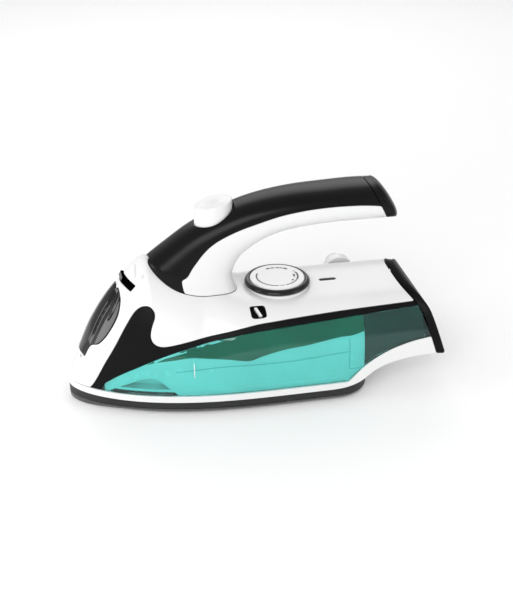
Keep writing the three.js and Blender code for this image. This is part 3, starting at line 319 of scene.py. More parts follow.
def body(x, y):
    """The surface at x along the crest and y round the section from it, both measured on the surface."""
    u = np.interp(x, crest_run, stations)
    sy, sz = section(u[:, None], STEPS[None, :])
    run = np.concatenate([np.zeros((len(u), 1)), np.cumsum(np.hypot(np.diff(sy), np.diff(sz)), axis=1)], 1)
    reach = np.abs(y)
    i = np.clip((run <= reach[:, None]).sum(1) - 1, 0, len(STEPS) - 2)
    rows = np.arange(len(u))
    part = (reach - run[rows, i]) / (run[rows, i + 1] - run[rows, i])
    phi = STEPS[i] + np.clip(part, 0, 1) * (STEPS[i + 1] - STEPS[i])
    py, pz = section(u, phi)
    below = np.maximum(reach - run[:, -1], 0)
    return np.stack([u, np.sign(y) * py, pz - below], 1)


def chart(points):
    """The x and y of points that lie on the body."""
    u, y, z = np.array(points, float).T
    phi = np.arctan2(np.maximum(z - RIM, 0) / rise(u), np.abs(y) / width(u))
    angles = math.pi / 2 + (phi - math.pi / 2)[:, None] * np.linspace(0, 1, 60)[None, :]
    sy, sz = section(u[:, None], angles)
    run = np.hypot(np.diff(sy), np.diff(sz)).sum(1)
    return np.stack([np.interp(u, stations, crest_run), np.sign(y) * run], 1)


def skin_y(u, z):
    """Half the body's width at a height."""
    share = np.clip((z - RIM) / rise(u), 0, 1) ** top_bend(u)
    return width(u) * (1 - share) ** (1 / side_bend(u))


def skin_z(u, y):
    """The body's height above a plan point."""
    share = np.clip(np.abs(y) / width(u), 0, 1) ** side_bend(u)
    return RIM + rise(u) * (1 - share) ** (1 / top_bend(u))


def seen(points, side):
    """Points on the body from their side view, as (u, z), on the left (-1) or the right (1)."""
    u, z = np.array(points, float).T
    return np.stack([u, side * np.maximum(skin_y(u, z), 1e-4), z], 1)


def over_plan(u, y):
    """The chart point above a plan point."""
    return chart([[u, y, float(skin_z(np.array(u), np.array(y)))]])[0]


def inside_body(p):
    """Below 0 inside the body, above it outside."""
    u, y, z = p[..., 0], p[..., 1], p[..., 2]
    a = (np.abs(y) / width(u)) ** side_bend(u)
    return a + (np.maximum(z - RIM, 0) / rise(u)) ** top_bend(u) - 1


def unit(v):
    """Vectors, one in each row, brought to length 1."""
    return v / np.maximum(np.linalg.norm(v, axis=1), 1e-12)[:, None]


# --- meshes


class Part:
    """Gathers surfaces in body millimetres into one mesh object in the row frame."""

    def __init__(self):
        self.points, self.normals, self.faces, self.count = [], [], [], 0

    def add(self, points, normals, faces):
        self.points.append(np.array(points, float))
        self.normals.append(np.array(normals, float))
        self.faces += [tuple(int(v) + self.count for v in f) for f in faces]
        self.count += len(points)

    def make(self, name, material, body_name, replaces=()):
        points = np.vstack(self.points)
        mesh = bpy.data.meshes.new(name)
        mesh.from_pydata(((points - [LENGTH / 2, 0, 0]) * MM).tolist(), [], self.faces)
        mesh.polygons.foreach_set("use_smooth", [True] * len(mesh.polygons))
        mesh.materials.append(material)
        mesh.update()
        mesh.normals_split_custom_set_from_vertices(unit(np.vstack(self.normals)).tolist())
        thing = bpy.data.objects.new(name, mesh)
        scene.collection.objects.link(thing)
        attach(thing, body_name)
        if replaces:
            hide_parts(*replaces)


BATCH = 2000  # points tested at a time, to bound the memory


def within(q, loops):
    """Whether each point lies inside the loops, counting holes."""
    inside = np.zeros(len(q), bool)
    for loop in loops:
        (ax, ay), (bx, by) = loop.T, np.roll(loop, -1, axis=0).T
        for start in range(0, len(q), BATCH):
            x, y = q[start : start + BATCH, 0:1], q[start : start + BATCH, 1:2]
            straddles = (ay > y) != (by > y)
            with np.errstate(divide="ignore", invalid="ignore"):
                crossing = ax + (y - ay) / (by - ay) * (bx - ax)
            inside[start : start + BATCH] ^= (straddles & (x < crossing)).sum(1) % 2 == 1
    return inside


def clear_of(q, border, distance):
    """Whether each point is farther than a distance from every border point."""
    keep = np.ones(len(q), bool)
    for start in range(0, len(q), BATCH):
        d = np.linalg.norm(q[start : start + BATCH, None, :] - border[None, :, :], axis=2).min(1)
        keep[start : start + BATCH] = d > distance
    return keep


def slopes(surface, q):
    """How the surface moves with x and with y of its chart."""
    e = 0.02
    along = (surface(*(q + [e, 0]).T) - surface(*(q - [e, 0]).T)) / (2 * e)
    up = (surface(*(q + [0, e]).T) - surface(*(q - [0, e]).T)) / (2 * e)
    return along, up


def outward(p, n):
    """The directions out of a panel whose border is p, at right angles to its normals n."""
    return unit(np.cross(np.roll(p, -1, axis=0) - np.roll(p, 1, axis=0), n))


def inset_loop(surface, loop, outer, by):
    """A loop of the chart, turned so that its panel is on its left, and moved into it by a distance."""
    x, y = loop.T
    area = (x * np.roll(y, -1) - np.roll(x, -1) * y).sum()
    if (area > 0) != outer:
        loop = loop[::-1]
    a, b = slopes(surface, loop)
    want = -outward(surface(*loop.T), unit(np.cross(a, b))) * by
    aa, ab, bb = (a * a).sum(1), (a * b).sum(1), (b * b).sum(1)
    wa, wb = (want * a).sum(1), (want * b).sum(1)
    det = np.maximum(aa * bb - ab * ab, 1e-9)
    return loop + np.stack([(wa * bb - wb * ab) / det, (wb * aa - wa * ab) / det], 1)


def filled(loops, spacing):
    """Points and triangles inside the loops, and the number that each border point has among the points."""
    border = np.vstack(loops)
    lo, hi = border.min(0), border.max(0)
    columns, rows = np.arange(lo[0], hi[0], spacing), np.arange(lo[1], hi[1], spacing * 0.87)
    grid = np.array([[x + (j % 2) * spacing / 2, y] for j, y in enumerate(rows) for x in columns])
    grid = grid[within(grid, loops)]
    grid = grid[clear_of(grid, border, spacing * 0.5)]
    edges, first = [], 0
    for loop in loops:
        n = len(loop)
        edges += [(first + i, first + (i + 1) % n) for i in range(n)]
        first += n
    flat = [Vector(p) for p in np.vstack([border, grid])]
    made = geometry.delaunay_2d_cdt(flat, edges, [], 0, 1e-5, True)
    q, triangles = np.array([tuple(v) for v in made[0]]), np.array(made[2])
    triangles = triangles[within(q[triangles].mean(1), loops)]
    return q, triangles, {old: new for new, olds in enumerate(made[3]) for old in olds}


def patch(part, surface, loops, spacing=1.8, roll=0.35, gap=0.15, depth=1.8):
    """A panel of the surface inside the first loop and outside the others, with rolled edges, walls and a
    back. roll and gap may be lists, one value for each loop."""
    rolls = roll if isinstance(roll, list) else [roll] * len(loops)
    gaps = gap if isinstance(gap, list) else [gap] * len(loops)
    insets = [inset_loop(surface, loop, k == 0, rolls[k] + gaps[k]) for k, loop in enumerate(loops)]
    q, triangles, number = filled(insets, spacing)
    p, n = surface(*q.T), unit(np.cross(*slopes(surface, q)))
    total = len(q)
    faces = [tuple(t) for t in triangles]
    faces += [(t[2] + total, t[1] + total, t[0] + total) for t in triangles]
    points, normals = [p, p - n * depth], [n, -n]
    count, first = 2 * total, 0
    for loop, bend in zip(insets, rolls):
        size = len(loop)
        ids = np.array([number[first + i] for i in range(size)])
        first += size
        base, up = p[ids], n[ids]
        out = outward(base, up)
        walls = []
        for a in np.radians((30, 60, 90) if bend else ()):
            s, c = math.sin(a), math.cos(a)
            walls.append((base + out * bend * s - up * bend * (1 - c), up * c + out * s))
        walls.append((base + out * bend - up * depth, out))
        rings = [ids]
        for wall, facing in walls:
            points.append(wall)
            normals.append(facing)
            rings.append(np.arange(count, count + size))
            count += size
        rings.append(ids + total)
        for a, b in zip(rings, rings[1:]):
            faces += [(a[i], b[i], b[(i + 1) % size], a[(i + 1) % size]) for i in range(size)]
    part.add(np.vstack(points), np.vstack(normals), faces)


def loft(part, rings, normals=None, closed=True, caps=(False, False)):
    """A surface through rings of points of equal count. Normals come from the grid unless they are given."""
    rings = np.array(rings, float)
    m, n = rings.shape[:2]
    if normals is None:
        along = np.gradient(rings, axis=0)
        round_ = np.roll(rings, -1, axis=1) - np.roll(rings, 1, axis=1)
        if not closed:
            round_[:, 0], round_[:, -1] = rings[:, 1] - rings[:, 0], rings[:, -1] - rings[:, -2]
        normals = np.cross(along, round_)
    faces = []
    for i in range(m - 1):
        for j in range(n if closed else n - 1):
            k = (j + 1) % n
            faces.append((i * n + j, (i + 1) * n + j, (i + 1) * n + k, i * n + k))
    part.add(rings.reshape(-1, 3), np.array(normals).reshape(-1, 3), faces)
    for end, wanted in ((0, caps[0]), (m - 1, caps[1])):
        if not wanted:
            continue
        ring = rings[end]
        facing = ring.mean(0) - rings[1 if end == 0 else m - 2].mean(0)
        flat = np.cross(ring[n // 4] - ring[0], ring[n // 2] - ring[0])
        order = list(range(n)) if np.dot(flat, facing) > 0 else list(range(n))[::-1]
        part.add(ring, np.tile(facing, (n, 1)), [tuple(order)])


def crisp(profile, radius):
    """A profile of (radius, height) points with each inner corner eased by a short curve."""
    p = np.array(profile, float)
    out = [p[0]]
    for a, b, c in zip(p, p[1:], p[2:]):
        before, after = (a - b), (c - b)
        la, lc = np.linalg.norm(before), np.linalg.norm(after)
        r = min(radius, la * 0.45, lc * 0.45)
        start, stop = b + before / la * r, b + after / lc * r
        for t in (0, 0.25, 0.5, 0.75, 1):
            out.append((1 - t) ** 2 * start + 2 * t * (1 - t) * b + t * t * stop)
    out.append(p[-1])
    return np.array(out)


def lathe(part, profile, centre, axis=(0, 0, 1), sides=96, radius=0.3):
    """A profile of (radius, height) turned about an axis, with eased corners. It runs from the bottom up."""
    p = crisp(profile, radius)
    axis = Vector(axis).normalized()
    first = axis.orthogonal().normalized()
    second = axis.cross(first)
    turn = np.linspace(2 * math.pi, 0, sides, endpoint=False)
    spokes = np.cos(turn)[:, None] * np.array(first) + np.sin(turn)[:, None] * np.array(second)
    rings = [np.array(centre) + spokes * r + np.array(axis) * h for r, h in p]
    loft(part, rings, [spokes * up - np.array(axis) * out for out, up in np.gradient(p, axis=0)])


def ribbon(part, path, half, spot):
    """A flat line of even width along a path in a plane, set on a surface by spot(points): print, or a line
    of painted shade.
    """
    p = np.array(path, float)
    t = np.gradient(p, axis=0)
    t /= np.linalg.norm(t, axis=1)[:, None]
    across = np.stack([-t[:, 1], t[:, 0]], 1) * half
    n = len(p)
    up = np.cross(spot(p + [0.1, 0]) - spot(p), spot(p + [0, 0.1]) - spot(p))
    faces = [(i, i + 1, i + 1 + n, i + n) for i in range(n - 1)]
    part.add(np.vstack([spot(p - across), spot(p + across)]), np.vstack([up, up]), faces)


# --- seams of the shells

TRIM_TOP = [[11.4, 12], [12.9, 14.1], [20.2, 28.6], [26.2, 39.1], [32.4, 50.0], [37.4, 57.6], [39.8, 59.9],
            [41.7, 61.0], [43.8, 61.5], [45.9, 61.1], [47.5, 59.5], [48.2, 57.4], [47.8, 55.3], [46.3, 52.0],
            [45.3, 48.9], [44.9, 46.2], [45.6, 43.5], [47.4, 41.6], [49.4, 40.8], [52, 40.6], [57.1, 41.3],
            [81.9, 46.2], [104, 49.7], [141.7, 51.7]]
TANK_TOP = [[17, 12], [19.3, 16.4], [26.5, 22.4], [34.5, 27.3], [52.2, 35.7], [81.6, 43.4], [103.4, 46.5],
            [149.8, 49.1]]
SKIRT_TOP = [[152.6, 12], [162.9, 21.5], [175.1, 28.5], [188.3, 32.5]]
UNDERSIDE = [[145, 8], [150, 8.4], [154, 9.2], [158.5, 10.8], [161.8, 12.8], [165, 15.3], [169, 17.8],
             [175.4, 20.3], [188.7, 22.8], [196, 23.2]]
HEEL_FOOT, BEND_FROM, DECK = 23.0, 46.0, 57.0  # heights of the heel's lower edge, its bend and its top
TRIM_END, TANK_END, SKIRT_END, EDGE_END = 52.6, 50.8, 34.2, 23.2  # heights where the seams reach the band


def forward(z):
    """How far the heel has bent forward at a height, from 0 to 1."""
    return (np.maximum(z - BEND_FROM, 0) / (DECK - BEND_FROM)) ** 2


def band(z):
    """The station of the rear cover's front seam at a height."""
    return 203.8 - 0.32 * (z - HEEL_FOOT) - 5.4 * forward(z)


def heel(z):
    """The station of the rear face at a height."""
    return LENGTH - 0.33 * (z - HEEL_FOOT) - 4.8 * forward(z)


trim_top = curve([*TRIM_TOP, [band(TRIM_END), TRIM_END]])
tank_top = curve([*TANK_TOP, [band(TANK_END), TANK_END]])
skirt_top = curve([*SKIRT_TOP, [band(SKIRT_END), SKIRT_END]])


def crossing(station, phi):
    """Where the body's surface meets a leaning face, at angles round the section."""
    u = np.full_like(phi, 200.0)
    for _ in range(12):
        y, z = section(u, phi)
        u = station(z)
    return np.stack([u, y, z], 1)


def band_over(low):
    """Points of the band's front seam, over the crest from the left side at a height to the right."""
    end = math.atan2((low - RIM) / (DECK - RIM), skin_y(np.array(190.0), low) / width(190.0))
    return crossing(band, np.linspace(math.pi - end, end, 90))


# --- handle

CREST = spline([[47.6, 80.6], [57, 87.5], [72, 97.6], [93.5, 107.4], [110, 111.9], [128.5, 114.4],
                [147, 115.2], [162, 115.65], [173, 115.4]])
KEEL = spline([[96.7, 59.2], [94.2, 68], [97.8, 78], [107, 86], [118.5, 91.4], [132, 94.1], [149, 95.4],
               [168, 95.4], [185.5, 95.2]])
HALF_WIDTH = spline([15.5, 14.6, 14.0, 14.2, 14.8, 15.4, 15.8, 15.8, 15.2])
SUNK = 0.12  # how far the handle goes on below its foot, inside the body
SUNK_CREST, SUNK_KEEL, SUNK_HALF = np.array([50.5, 68.5]), np.array([98, 45.8]), 16.6
BEND = 2.5  # 2 would make the handle's section an ellipse
split_angle = smooth([[-0.13, 15], [-0.05, 14], [-0.02, 13], [0, 11.5], [0.03, 9.5], [0.06, 8.5], [0.13, 8.8],
                      [0.2, 10.5], [0.27, 12], [0.45, 6], [0.59, 9], [0.72, 11], [0.85, 8], [0.945, 2],
                      [1, -4]])
SPLIT_END = 0.95


def handle_ring(top, keel, half, phi, shrink=1.0):
    r = shrink * (np.abs(np.cos(phi)) ** BEND + np.abs(np.sin(phi)) ** BEND) ** (-1 / BEND)
    middle, up = (top + keel) / 2, (top - keel) / 2
    over = (r * np.sin(phi))[..., None]
    flat = middle + up * over
    return np.stack([flat[..., 0], half * r * np.cos(phi), flat[..., 1]], -1)


def handle(t, phi):
    """The handle's surface: t from 0 at the foot to 1 at the end, phi 90 degrees on the crest."""
    t, phi = np.broadcast_arrays(np.asarray(t, float), np.asarray(phi, float))

    def above(s):
        return handle_ring(CREST(s), KEEL(s), HALF_WIDTH(s)[..., 0], phi)

    p = above(np.maximum(t, 0))
    start = above(np.zeros_like(t))
    tangent = (above(np.full_like(t, 1e-3)) - start) / 1e-3
    shape = t.shape + (2,)
    sunk = handle_ring(np.broadcast_to(SUNK_CREST, shape), np.broadcast_to(SUNK_KEEL, shape), SUNK_HALF, phi)
    a, b, c, d = hermite(np.clip((t + SUNK) / SUNK, 0, 1)[..., None])
    below_tangent = (start - sunk) / SUNK
    low = a * sunk + b * SUNK * below_tangent + c * start + d * SUNK * tangent
    return np.where((t < 0)[..., None], low, p)


def split_phi(t):
    theta = np.radians(split_angle(t))
    return np.arctan2(np.sign(theta) * np.abs(np.sin(theta)) ** (2 / BEND), np.cos(theta) ** (2 / BEND))


FOOT_PHI = np.linspace(-math.pi / 2, 1.5 * math.pi, 240, endpoint=False)
FOOT_T = border_between(np.full_like(FOOT_PHI, -0.118), np.full_like(FOOT_PHI, 0.05),
                        lambda t: inside_body(handle(t, FOOT_PHI)) > 0)

ts = np.linspace(-SUNK, 1, 500)
spine_run = run_of((handle(ts, 0.0) + handle(ts, math.pi)) / 2)
GIRTH = 14.0


def handle_skin(x, y):
    return handle(np.interp(x, spine_run, ts), -y / GIRTH)


def handle_chart(t, phi):
    return np.stack([np.interp(t, ts, spine_run), -np.asarray(phi) * GIRTH], 1)


def foot_t(phi):
    """Where the handle meets the body, at any angle round it."""
    turn = (np.asarray(phi) + math.pi / 2) % (2 * math.pi) - math.pi / 2
    return np.interp(turn, np.r_[FOOT_PHI, 1.5 * math.pi], np.r_[FOOT_T, FOOT_T[:1]])


# where the split meets the foot, on the right (phi near 0) and so on the left
corner_t = -0.05
for _ in range(30):
    corner_t = float(foot_t(split_phi(np.array(corner_t))))
corner_phi = float(split_phi(np.array(corner_t)))

run_t = np.linspace(corner_t, SPLIT_END, 160)
upper_arc = np.linspace(corner_phi, math.pi - corner_phi, 80)
lower_arc = np.linspace(-math.pi - corner_phi, corner_phi, 120)
end_phi = float(split_phi(np.array(SPLIT_END)))
upper_loop = np.vstack([
    handle_chart(foot_t(upper_arc), upper_arc),
    handle_chart(run_t, math.pi - split_phi(run_t)),
    handle_chart(np.full(60, SPLIT_END), np.linspace(math.pi - end_phi, end_phi, 60)),
    handle_chart(run_t[::-1], split_phi(run_t[::-1])),
])
lower_loop = np.vstack([
    handle_chart(foot_t(lower_arc), lower_arc),
    handle_chart(run_t, split_phi(run_t)),
    handle_chart(np.full(60, SPLIT_END), np.linspace(end_phi, -math.pi - end_phi, 60)),
    handle_chart(run_t[::-1], -math.pi - split_phi(run_t[::-1])),
])


# --- top shell


def rim_run(side, first, last, count=40):
    u = np.linspace(first, last, count)
    return np.stack([u, side * width(u), np.full(count, RIM)], 1)


def oval(x, y, half_x, half_y, count=72, power=2.0):
    """A closed ring in the body's chart."""
    a = np.linspace(0, 2 * math.pi, count, endpoint=False)
    c, s = np.cos(a), np.sin(a)
    r = (np.abs(c) ** power + np.abs(s) ** power) ** (-1 / power)
    return np.stack([x + half_x * r * c, y + half_y * r * s], 1)


COVER_SIDE = curve([[10.1, 28.3], [13.1, 34.4], [14.6, 36.2], [17.4, 37.7], [20.8, 41.3], [25, 47.3],
                    [28.8, 53.9], [30.6, 58.9], [31.3, 62.1], [31.3, 64.4]])


def cover_loop():
    side = seen(COVER_SIDE, -1)
    top = np.array([[31.0, -4.3], [30.5, -3.4], [29.6, -3.0], [30.1, -1.6], [30.3, 0.0]])
    top = np.column_stack([top, skin_z(top[:, 0], top[:, 1])])
    foot = np.array([[8.5, 0.0], [8.7, -3.0], [9.4, -6.5]])
    foot = np.column_stack([foot, skin_z(foot[:, 0], foot[:, 1])])
    half = chart(np.vstack([foot, side, top]))
    return np.vstack([half, half[1:-1][::-1] * [1, -1]])


SLOT_U, SLOT_DIP, SLOT_HALF, SLOT_TALL = 33.4, math.radians(27), 11.6, 4.3


def slot_loop(grow=0.0):
    """The steam lever's slot in the chart, with every side moved out by grow."""
    edges = []
    for sign in (1, -1):
        y = np.linspace(-SLOT_HALF - grow, SLOT_HALF + grow, 40)[::sign]

        def beyond(u):
            over = (skin_z(u, y) - crest(SLOT_U)) * math.cos(SLOT_DIP)
            return (u - SLOT_U) * math.sin(SLOT_DIP) + over > sign * (SLOT_TALL / 2 + grow)

        u = border_between(np.full(40, 22.0), np.full(40, 46.0), beyond)
        edges.append(np.stack([u, y, skin_z(u, y)], 1))
    return chart(np.vstack(edges))


PILOT_U, PILOT_HALF, PILOT_ROUND, PILOT_GAP = 149.4, 4.7, 1.3, 0.25
DIAL_U = 120.3
SWITCH_U, SWITCH_Y, SWITCH_HALF = 104.3, -24.6, 4.3
switch_at = over_plan(SWITCH_U, SWITCH_Y)
pilot_at = over_plan(PILOT_U, 0.0)


def capsule(x, y, half_x, half_y):
    """A closed ring with straight sides and round ends, long in x."""
    a = np.linspace(-math.pi / 2, math.pi / 2, 16)
    right = np.stack([x + half_x - half_y + half_y * np.cos(a), y + half_y * np.sin(a)], 1)
    left = np.stack([x - half_x + half_y - half_y * np.cos(a), y - half_y * np.sin(a)], 1)
    return np.vstack([right, left])


def dent(q, centre, along, across, turn, depth, power=1.0):
    """A soft hollow in the chart: an oval of the given half sizes, turned by an angle."""
    d = q - np.array(centre)
    c, s = math.cos(turn), math.sin(turn)
    a, b = d[:, 0] * c + d[:, 1] * s, -d[:, 0] * s + d[:, 1] * c
    return -depth * np.exp(-(((a / along) ** 2 + (b / across) ** 2) ** power))


scoop_at = over_plan(32.9, -12.6)
cover_dent_at = over_plan(27.9, -9.6)


def lifted(lift):
    """The body's surface moved along its normal by lift(chart points)."""

    def surface(x, y):
        e = 0.03
        n = unit(np.cross(body(x + e, y) - body(x - e, y), body(x, y + e) - body(x, y - e)))
        return body(x, y) + n * lift(np.stack([x, y], 1))[:, None]

    return surface


def shell_lift(q):
    mirrored = q * [1, -1]
    return sum(dent(v, scoop_at, 4.6, 1.9, 0.55, 1.0) for v in (q, mirrored))


band_seam = band_over(TRIM_END)
shell_outline = np.vstack([
    chart(rim_run(-1, 0.9, 11.4)),
    chart(seen(trim_top, -1)),
    chart(band_seam),
    chart(seen(trim_top, 1))[::-1],
    chart(rim_run(1, 0.9, 11.4))[::-1],
])
foot_loop = chart(handle(FOOT_T, FOOT_PHI))
cover_ring = rounded(cover_loop(), 0.5, 0.7)
shell = Part()
patch(
    shell,
    lifted(shell_lift),
    [
        rounded(shell_outline, 0.7, 0.9),
        cover_ring,
        rounded(slot_loop(), 0.7, 0.6),
        rounded(foot_loop, 0.5, 0.9),
        capsule(*pilot_at, PILOT_HALF + PILOT_GAP, PILOT_ROUND + PILOT_GAP),
        oval(*switch_at, SWITCH_HALF, SWITCH_HALF, 48, 6.0),
    ],
    spacing=1.6,
    roll=[0.35, 0.35, 0.5, 0.3, 0.25, 0.45],
    gap=[0.12, 0.15, 0, 0.1, 0, 0],
)
shell.make("top_shell_skin", WHITE, "iron", ["top_shell"])

# --- side trims, tank and skirt

for side, word in ((-1, "left"), (1, "right")):
    loop = np.vstack([
        chart(seen(trim_top, side)),
        chart(seen(tank_top[::-1], side)),
        chart(rim_run(side, 17, 11.4, 12))[1:-1],
    ])
    trim = Part()
    patch(trim, body, [rounded(loop, 0.45, 0.8)], spacing=1.6, roll=0.3)
    trim.make("side_trim_" + word + "_skin", SATIN, "iron", ["side_trim_" + word])

tank = Part()
for side in (-1, 1):
    loop = np.vstack([
        chart(seen(tank_top, side)),
        chart(seen(skirt_top[::-1], side)),
        chart(rim_run(side, 152.6, 17, 120))[1:-1],
    ])
    patch(tank, body, [rounded(loop, 0.4, 0.7)], spacing=2.2, roll=0.28, gap=0.08, depth=2.0)
tank.make("water_tank_clear", TEAL, "iron", ["water_tank"])

plan_u = np.linspace(0, 1, 1200) ** 2 * 206
plan_run = np.r_[0, np.cumsum(np.hypot(np.diff(plan_u), np.diff(width(plan_u))))]


def skirt_skin(x, z):
    """The skirt's surface: x from the nose along the rim, to the left above 0, and z up."""
    reach = np.abs(x)
    u = np.interp(reach, plan_run, plan_u)
    e = 0.05
    ahead = np.interp(reach + e, plan_run, plan_u)
    behind = np.interp(np.maximum(reach - e, 0), plan_run, plan_u)
    du, dw = ahead - behind, width(ahead) - width(behind)
    size = np.maximum(np.hypot(du, dw), 1e-9)
    y = np.where(z > RIM, skin_y(u, np.maximum(z, RIM)), width(u))
    proud = 0.6 * (1 - ease(z, 13, 21))
    blunt = 1.55 * np.exp(-u / 4)
    side = np.where(x > 0, -1, 1)
    return np.stack([u + blunt - dw / size * proud, side * (y + du / size * proud), z], 1)


def skirt_chart(points):
    """The chart of skirt_skin for points of the left side, as (u, z)."""
    u, z = np.array(points, float).T
    return np.stack([np.interp(u, plan_u, plan_run), z], 1)


SKIRT_FOOT = 8.0
lower_edge = curve([*UNDERSIDE, [band(EDGE_END), EDGE_END]])
half_skirt = skirt_chart(np.vstack([
    [[0.0, SKIRT_FOOT]],
    [[u, SKIRT_FOOT] for u in np.linspace(2, 144, 60)],
    lower_edge,
    skirt_top[::-1],
    [[u, RIM] for u in np.linspace(152, 2, 60)],
    [[0.0, RIM]],
]))
skirt_loop = np.vstack([half_skirt, (half_skirt * [-1, 1])[::-1][1:-1]])
skirt = Part()
patch(skirt, skirt_skin, [rounded(skirt_loop, 0.5, 0.9)], spacing=1.5, roll=0.4, gap=0.1, depth=1.7)
under = []
for u, z in lower_edge:
    reach = float(skin_y(np.array(u), np.array(max(z, RIM)))) - 1.4
    under.append([[u, side * reach, z + 0.15] for side in np.linspace(1, -1, 25)])
loft(skirt, under, closed=False)
skirt.make("lower_skirt_skin", WHITE, "iron", ["lower_skirt"])

# --- rear cover


def heel_ring(station, count=260):
    """The closed outline of the body behind a leaning face, with its lower corners rounded."""
    low = math.atan2((HEEL_FOOT - RIM) / float(rise(station(HEEL_FOOT))), 1.0)
    arc_over = crossing(station, np.linspace(math.pi - low, low, 200))
    base = np.linspace(arc_over[-1], arc_over[0], 60)[1:-1]
    return spread(rounded(np.vstack([arc_over, base]), 0.9, 0.5), count)


def facing_back(z):
    """The heel's outward direction at a height."""
    slope = (heel(z + 0.05) - heel(z - 0.05)) / 0.1
    n = np.stack([np.ones_like(z), np.zeros_like(z), -slope], -1)
    return n / np.linalg.norm(n, axis=-1, keepdims=True)


def shrink(ring, by):
    """A ring across the body moved inward along the surface it lies in, and the inward directions."""
    t = np.roll(ring, -2, axis=0) - np.roll(ring, 2, axis=0)
    inward = np.cross(t, facing_back(ring[:, 2]))
    inward /= np.linalg.norm(inward, axis=1)[:, None]
    if ((ring.mean(0) - ring) * inward).sum() < 0:
        inward = -inward
    return ring + inward * by, inward


FRONT_ROLL, EDGE = 0.35, 1.3  # radii of the rear cover's front and rear edges
rear = Part()
front_ring, heel_edge = heel_ring(lambda z: band(z) + 0.15), heel_ring(heel)
front_back, heel_back = facing_back(front_ring[:, 2]), facing_back(heel_edge[:, 2])
rings, facings = [shrink(front_ring, 2.0)[0]], [-front_back]
for a in np.radians((0, 30, 60, 90)):
    rolled, inward = shrink(front_ring, FRONT_ROLL * (1 - math.sin(a)))
    rings.append(rolled + front_back * FRONT_ROLL * (1 - math.cos(a)))
    facings.append(-front_back * math.cos(a) - inward * math.sin(a))
for share in (0.15, 0.4, 0.65, 0.9):
    rings.append(front_ring + (heel_edge - heel_back * EDGE - front_ring) * share)
    facings.append(-inward)
for a in np.radians((0, 15, 30, 45, 60, 75, 90)):
    rolled, inward = shrink(heel_edge, EDGE * (1 - math.cos(a)))
    rings.append(rolled - heel_back * EDGE * (1 - math.sin(a)))
    facings.append(-inward * math.cos(a) + heel_back * math.sin(a))
loft(rear, rings, normals=facings)


def heel_skin(x, z):
    return np.stack([heel(z), x, z], 1)


flat_loop = rings[-1][:, 1:]
SCREW_Y, SCREW_Z = 16.0, 40.0
screws = [oval(side * SCREW_Y, SCREW_Z, 3.3, 3.3, 40) for side in (-1, 1)]
panel = oval(0, 35.5, 11, 6.2, 80, 6.0)
patch(rear, heel_skin, [flat_loop, *screws, panel], spacing=3.0, roll=[0, 0.3, 0.3, 0.3], gap=0, depth=2.2)
patch(rear, lambda x, z: heel_skin(x, z) - [0.7, 0, 0], [panel], spacing=3.0, roll=0.2, gap=0.25, depth=1.4)
rear.make("rear_cover_skin", SATIN, "iron", ["rear_cover"])

SCREW_HEAD = [(0.01, -9), (1.4, -9), (1.4, -1.8), (2.9, -1.8), (2.9, -0.75), (2.3, -0.45), (0.95, -0.45),
              (0.9, -1.4), (0.01, -1.5)]
for side, word in ((-1, "left"), (1, "right")):
    centre = (float(heel(SCREW_Z)), side * SCREW_Y, SCREW_Z)
    screw = Part()
    lathe(screw, SCREW_HEAD, centre, tuple(facing_back(np.array(SCREW_Z))), 36, 0.2)
    screw.make("heel_screw_" + word + "_head", STEEL, "iron", ["heel_screw_" + word])

# --- sole and heat shield

PLATE_END, PLATE_CORNER, PLATE_POINTS = 168.0, 20.0, 360


def plate_ring(tuck_in, z):
    """A plan ring that follows the body's rim, moved inward, with round rear corners."""
    turn_at = PLATE_END - PLATE_CORNER
    u = turn_at * np.linspace(0, 1, 500) ** 2
    lean = (width(u + 0.02) - width(np.maximum(u - 0.02, 0))) / np.where(u < 0.02, u + 0.02, 0.04)
    square = np.hypot(1, lean)
    tuck = tuck_in * (0.12 + 0.88 * ease(u, 0, 30))
    side = np.stack([u + 1.0 * np.exp(-u / 4) + tuck * lean / square, width(u) - tuck / square], 1)
    a = np.linspace(0, math.pi / 2, 60)[1:]
    wide = width(turn_at) - tuck_in
    turn = np.stack([turn_at + PLATE_CORNER * np.sin(a), wide - PLATE_CORNER * (1 - np.cos(a))], 1)
    side = np.vstack([side, turn])
    side = side[side[:, 1] > 0.02]
    flat = spread(rounded(np.vstack([side, side[::-1] * [1, -1]]), 0.5, 0.4), PLATE_POINTS)
    return np.column_stack([flat, np.full(PLATE_POINTS, float(z))])


def stacked(part, levels):
    """Rings of (distance moved inward, height) from the bottom up, wound so that they face outward."""
    loft(part, [plate_ring(tuck_in, z)[::-1] for tuck_in, z in crisp(levels, 0.35)])


def sole_plane(x, y):
    return np.stack([x, -y, np.zeros_like(x)], 1)


SOLE_TUCK = 4.0
sole = Part()
stacked(sole, [(SOLE_TUCK, 0.0), (3.55, 0.12), (2.6, 0.9), (1.35, 2.1), (1.2, 2.4), (1.2, 3.0), (5.0, 3.0)])
holes = [(24, 0), *[(u, s * y) for u, y in ((40, 9), (58, 14), (76, 17), (94, 19)) for s in (-1, 1)]]
sole_loops = [plate_ring(SOLE_TUCK, 0.0)[:, :2], *[oval(u, y, 1.3, 1.3, 24) for u, y in holes]]
patch(sole, sole_plane, [loop * [1, -1] for loop in sole_loops], spacing=3.5, roll=[0] + [0.3] * len(holes),
      gap=0, depth=3.0)
sole.make("soleplate_coated", DARK, "iron", ["soleplate"])

shield = Part()
stacked(shield, [(4.0, 3.3), (1.35, 3.3), (1.2, 3.5), (1.2, 7.4), (1.4, 7.7), (3.4, 7.7), (3.4, RIM),
                 (4.2, RIM)])
shield.make("heat_shield_band", HEAT, "iron", ["heat_shield"])

# --- handle

lower = Part()
patch(lower, handle_skin, [rounded(lower_loop, 0.4, 0.8)], spacing=1.8, roll=0.25, gap=0.06, depth=1.8)
lower.make("handle_lower_skin", WHITE, "iron", ["handle_lower"])

BUTTON_U, BUTTON_LONG, BUTTON_WIDE = 84.7, 10.7, 9.0


